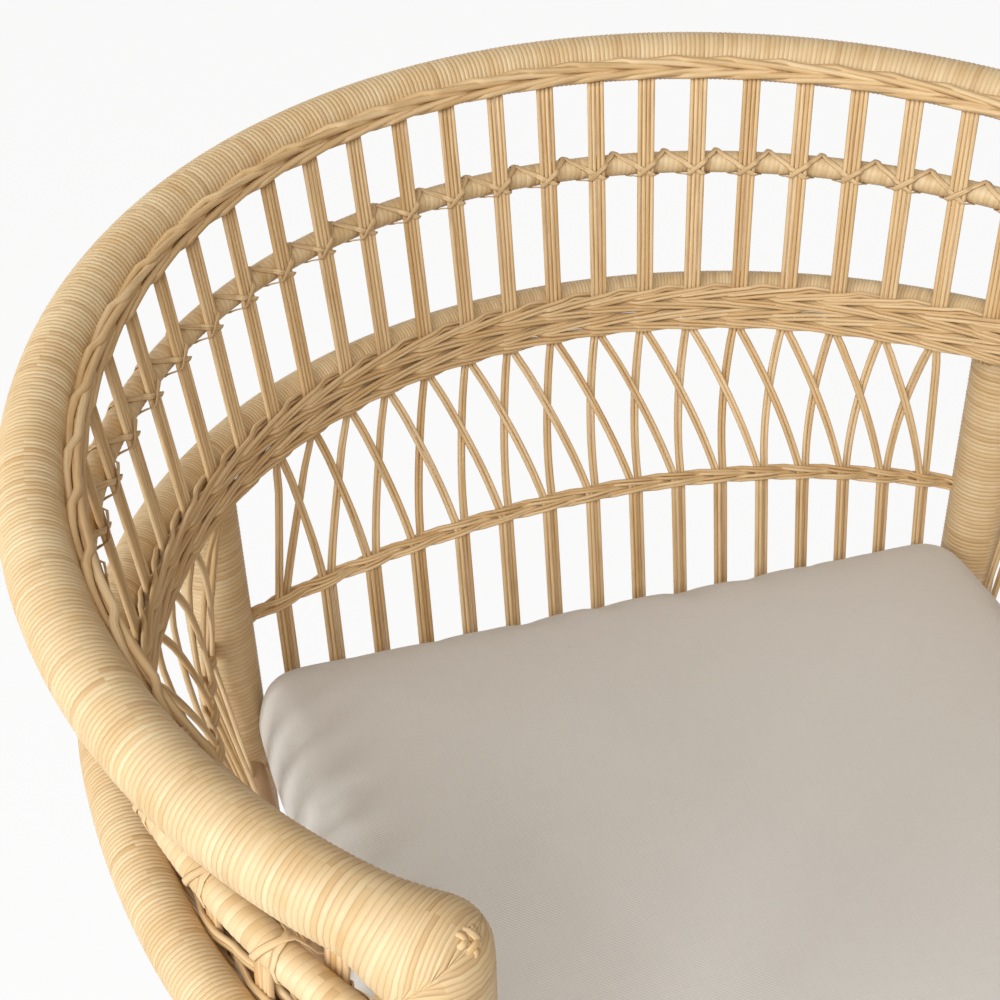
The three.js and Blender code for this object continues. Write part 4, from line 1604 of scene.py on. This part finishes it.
@dataclass(frozen=True)
class SeatCushion:
    """The loose seat cushion: a boxed cover blown up over its filling and resting on the deck."""

    half_back: float = 0.2565
    half_front: float = 0.2265
    side_bow: float = 0.007
    back: float = 0.1730
    front: float = -0.3040
    shift: float = -0.004
    corner: float = 0.025
    bottom: float = 0.3805
    edge_height: float = 0.060
    edge_bow: float = 0.009
    low_round: float = 0.014
    top_round: float = 0.020
    bulge: float = 0.0035
    crown: float = 0.010
    post_gap: float = 0.0006
    voxel: float = 0.0055
    pressure: float = 2.5
    slack: float = 0.012
    frames: int = 20
    cap: float = 0.007
    smooth_rounds: int = 2
    outline_points: int = 240
    corner_points: int = 24
    flat_rings: int = 23
    round_rings: int = 7
    side_rings: int = 5
    first_spread: float = 0.02

    def outline(self) -> tuple[Array, Array]:
        """The seat's outline from above: a trapezoid with rounded corners, evenly divided.

        Returns:
            Points and outward normals, shape (outline_points, 2).
        """
        corners = np.array([[self.half_back, self.back], [-self.half_back, self.back],
                            [-self.half_front, self.front], [self.half_front, self.front]])
        before = unit(np.roll(corners, 1, axis=0) - corners)
        after = unit(np.roll(corners, -1, axis=0) - corners)
        bisector = unit(before + after)
        half_angle = np.arccos(np.clip(np.sum(before * after, axis=1), -1.0, 1.0)) / 2.0
        middle = corners + bisector * (self.corner / np.sin(half_angle))[:, None]
        first = np.arctan2(before[:, 0], -before[:, 1])
        sweep = math.pi - 2.0 * half_angle
        turn = first[:, None] + sweep[:, None] * np.linspace(0.0, 1.0, self.corner_points)
        arcs = middle[:, None, :] + self.corner * np.stack([np.cos(turn), np.sin(turn)], axis=-1)
        loop = arcs.reshape(-1, 2)
        loop = np.concatenate([loop, loop[:1]])
        run = running_length(loop)
        even = np.linspace(0.0, run[-1], self.outline_points, endpoint=False)
        points = np.stack([np.interp(even, run, loop[:, axis]) for axis in range(2)], axis=-1)
        place = (2.0 * points[:, 1] - self.back - self.front) / (self.back - self.front)
        points[:, 0] *= 1.0 + self.side_bow / self.half_back * (1.0 - place ** 2)
        points[:, 0] += self.shift
        along = unit(np.roll(points, -1, axis=0) - np.roll(points, 1, axis=0))
        return points, np.stack([along[:, 1], -along[:, 0]], axis=-1)

    def start_mesh(self) -> bpy.types.Object:
        """The cover before it is blown up, as rings of the outline from the middle of the bottom to the top.

        The rings shrink to the middle on the bottom and top, follow quarter circles at the edges and bow out
        a little at the side. The edge is fuller between the corners, and the top rises to the middle with the
        fourth power of the distance.

        Returns:
            The new object, with an even mesh.
        """
        points, normals = self.outline()
        centre = points.mean(axis=0)
        flat = np.ones(self.flat_rings)
        arc = np.linspace(0.0, math.pi / 2.0, self.round_rings)
        side = np.linspace(0.0, 1.0, self.side_rings + 2)[1:-1]
        spread = np.linspace(self.first_spread, 1.0, self.flat_rings + 1)
        low, high = self.low_round, self.edge_height - self.top_round
        inset = np.concatenate([flat * self.low_round, self.low_round * (1.0 - np.sin(arc)),
                                -self.bulge * np.sin(math.pi * side), self.top_round * (1.0 - np.cos(arc)),
                                flat * self.top_round])
        height = np.concatenate([flat * 0.0, low * (1.0 - np.cos(arc)), low + (high - low) * side,
                                 high + self.top_round * np.sin(arc), flat * self.edge_height])
        edges = 2 * self.round_rings + self.side_rings
        scale = np.concatenate([spread[:-1], np.ones(edges), spread[-2::-1]])
        over = np.where(np.arange(len(scale)) >= self.flat_rings + edges, 1.0 - scale**4, 0.0)
        rings = centre + (points - normals * inset[:, None, None] - centre) * scale[:, None, None]
        side_x = np.abs(points[:, 0] - centre[0]) / self.half_back
        side_y = np.abs(2.0 * points[:, 1] - self.back - self.front) / (self.back - self.front)
        fuller = self.edge_bow * (1.0 - (side_x * side_y) ** 2)
        edge = height[:, None] * (1.0 + fuller / self.edge_height)
        levels = self.bottom + edge + (self.edge_bow + self.crown - fuller) * over[:, None]
        surface = np.concatenate([rings, levels[..., None]], axis=-1)
        count, around = surface.shape[:2]
        index = np.arange(count * around).reshape(count, around)
        quads = grid_quads(index, np.roll(index, -1, axis=1)).reshape(-1, 4)
        faces = quads.tolist() + [index[0, ::-1].tolist(), index[-1].tolist()]
        mesh = bpy.data.meshes.new("seat_cushion_cover")
        mesh.from_pydata(surface.reshape(-1, 3).tolist(), [], faces)
        cover = link(mesh.name, mesh)
        remesh = cover.modifiers.new("even", "REMESH")
        remesh.mode = "VOXEL"
        remesh.voxel_size = self.voxel
        self.apply(cover)
        return cover

    def apply(self, cover: bpy.types.Object) -> None:
        """Makes the modifiers' result the object's own mesh.

        Args:
            cover: the object.
        """
        graph = bpy.context.evaluated_depsgraph_get()
        made = bpy.data.meshes.new_from_object(cover.evaluated_get(graph))
        old = cover.data
        cover.modifiers.clear()
        cover.data = made
        bpy.data.meshes.remove(old)
        made.name = "seat_cushion_cover"

    def points(self, cover: bpy.types.Object) -> Array:
        """The mesh's vertices as an array."""
        flat = np.empty(len(cover.data.vertices) * 3)
        cover.data.vertices.foreach_get("co", flat)
        return flat.reshape(-1, 3)

    def inflate(self, cover: bpy.types.Object) -> None:
        """Blows the cover up with a cloth simulation; its cloth is a little larger than its filling.

        Args:
            cover: the cushion's cover.
        """
        settings = cover.modifiers.new("cloth", "CLOTH").settings
        settings.quality = 6
        settings.mass = 0.3
        settings.tension_stiffness = 20.0
        settings.compression_stiffness = 20.0
        settings.shear_stiffness = 8.0
        settings.bending_stiffness = 0.8
        settings.shrink_min = -self.slack
        settings.use_pressure = True
        settings.uniform_pressure_force = self.pressure
        settings.effector_weights.gravity = 0.0
        scene = bpy.context.scene
        for number in range(1, self.frames + 1):
            scene.frame_set(number)
        self.apply(cover)
        scene.frame_set(1)

    def build(self, cotton: bpy.types.Material) -> None:
        """Makes the cushion.

        Args:
            cotton: its finish.
        """
        cover = self.start_mesh()
        start = self.points(cover)
        self.inflate(cover)
        step = self.points(cover) - start
        size = np.linalg.norm(step, axis=1, keepdims=True)
        step *= self.cap * np.tanh(size / self.cap) / np.maximum(size, TINY)
        shaped = start + step
        shaped[:, 2] = np.maximum(shaped[:, 2], self.bottom)
        for _, side in SIDES:
            away = shaped[:, :2] - PLAN.post[:2] * np.array([side, 1.0])
            gap = np.linalg.norm(away, axis=1, keepdims=True)
            need = PLAN.post_pole + self.post_gap
            shaped[:, :2] += away / gap * np.maximum(need - gap, 0.0)
        cover.data.vertices.foreach_set("co", shaped.ravel())
        smooth = cover.modifiers.new("smooth", "SMOOTH")
        smooth.factor = 0.5
        smooth.iterations = self.smooth_rounds
        subdivision = cover.modifiers.new("fine", "SUBSURF")
        subdivision.levels = 1
        subdivision.render_levels = 1
        self.apply(cover)
        cover.data.shade_smooth()
        cover.data.materials.append(cotton)
        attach(cover, CUSHION)
        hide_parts("seat_cushion")
        LOG.info("made %s, of %d faces", cover.name, len(cover.data.polygons))


@dataclass(frozen=True)
class Studio:
    """Camera, soft daylight from the left and the front, and a white surround."""

    eye: Triple = (-0.3066, -0.6204, 1.0749)
    right: Triple = (0.95931, -0.28137, -0.02345)
    up: Triple = (0.17265, 0.51888, 0.83724)
    forward: Triple = (0.22341, 0.80722, -0.54635)
    focal_pixels: float = 1507.7
    picture_pixels: float = 1000.0
    sensor: float = 36.0
    aim: Triple = (0.0, 0.0, 0.5)
    floor_half: float = 6.0
    floor_level: float = -0.0005
    floor_colour: Colour = (0.82, 0.81, 0.79)
    floor_whiteness: float = 0.93
    ambient: float = 0.26
    ambient_colour: Colour = (1.0, 0.86, 0.68)

    def camera(self) -> None:
        """Places the camera where the photograph was taken from."""
        data = bpy.data.cameras.new("camera")
        data.sensor_width = self.sensor
        data.lens = self.sensor * self.focal_pixels / self.picture_pixels
        camera = link("camera", data)
        columns = [Vector(self.right), Vector(self.up), -Vector(self.forward)]
        turn = Matrix([[c[i] for c in columns] for i in range(3)]).to_4x4()
        camera.matrix_world = Matrix.Translation(Vector(self.eye)) @ turn
        bpy.context.scene.camera = camera
        bpy.context.scene.view_settings.view_transform = "Standard"

    def light(self, name: str, place: Triple, size: float, power: float, colour: Colour) -> None:
        """Adds a square soft light that points at the chair.

        Args:
            name: its name.
            place: where it hangs.
            size: length of its sides.
            power: in watts.
            colour: its colour.
        """
        data = bpy.data.lights.new(name, "AREA")
        data.size = size
        data.energy = power
        data.color = colour
        lamp = link(name, data)
        lamp.location = place
        aim = Vector(self.aim) - Vector(place)
        lamp.rotation_euler = aim.to_track_quat("-Z", "Y").to_euler()

    def floor(self) -> None:
        """A pale floor that the camera sees as white."""
        half, level = self.floor_half, self.floor_level
        mesh = bpy.data.meshes.new("floor")
        corners = [(-half, -half, level), (half, -half, level), (half, half, level), (-half, half, level)]
        mesh.from_pydata(corners, [], [[0, 1, 2, 3]])
        ground = link("floor", mesh)
        g = Graph(bpy.data.materials.new("floor"))
        diffuse = g.value("ShaderNodeBsdfDiffuse", 0, None, {"Color": self.floor_colour})
        white = g.value("ShaderNodeEmission", 0, None, {"Color": WHITE, "Strength": 1.0})
        g.show("ShaderNodeOutputMaterial", g.seen() * self.floor_whiteness, diffuse, white)
        mesh.materials.append(g.owner)
        ground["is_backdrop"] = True

    def surround(self) -> None:
        """Even pale light from all round, white to the camera."""
        world = bpy.data.worlds.new("surround")
        bpy.context.scene.world = world
        g = Graph(world)
        ambient, white = (
            g.value("ShaderNodeBackground", 0, None, {"Color": colour, "Strength": strength})
            for colour, strength in ((self.ambient_colour, self.ambient), (WHITE, 1.0))
        )
        g.show("ShaderNodeOutputWorld", g.seen(), ambient, white)

    def build(self) -> None:
        """Makes the camera, the lights, the floor and the surround."""
        self.camera()
        self.floor()
        self.surround()
        self.light("window", place=(-2.2, -1.0, 1.5), size=1.3, power=37.0, colour=(0.94, 0.98, 1.0))
        self.light("skylight", place=(-0.9, -1.9, 2.2), size=1.5, power=45.0, colour=(0.96, 0.98, 1.0))


def plain(box: Sequence[Sequence[float]]) -> list[list[float]]:
    """A box's corners as lists of numbers."""
    return [[float(value) for value in corner] for corner in box]


def main() -> None:
    """Builds the chair's pieces, then the studio, and notes the sizes."""
    logging.basicConfig(level=logging.INFO, format="%(name)s: %(message)s")
    cad_box = plain(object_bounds())
    peel = PeelWinding().build()
    cane = CaneFinish().build()
    lashing = CaneFinish("lashing_peel", pale=(0.72, 0.52, 0.29), honey=(0.50, 0.31, 0.13),
                         brown=(0.30, 0.155, 0.05)).build()
    Studio().build()
    # the cross rail's winding has fainter painted shade in its grooves (line=0.2)
    WoundFrame().build(peel, PeelWinding("smooth_winding", line=0.2).build(), cane)
    LOG.info("wound poles made")
    StakeWall().build(cane)
    TwinedBands().build(cane)
    RailLashing().build(lashing)
    LOG.info("stakes, twining and lashing made")
    SeatFrame().build(BarePole().build(), SlatWood().build())
    SeatCushion().build(CottonFinish().build())
    LOG.info("seat made")
    visual_box = plain(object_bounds())
    LOG.info("cad box %s, visual box %s", cad_box, visual_box)


if __name__ == "__main__":
    main()
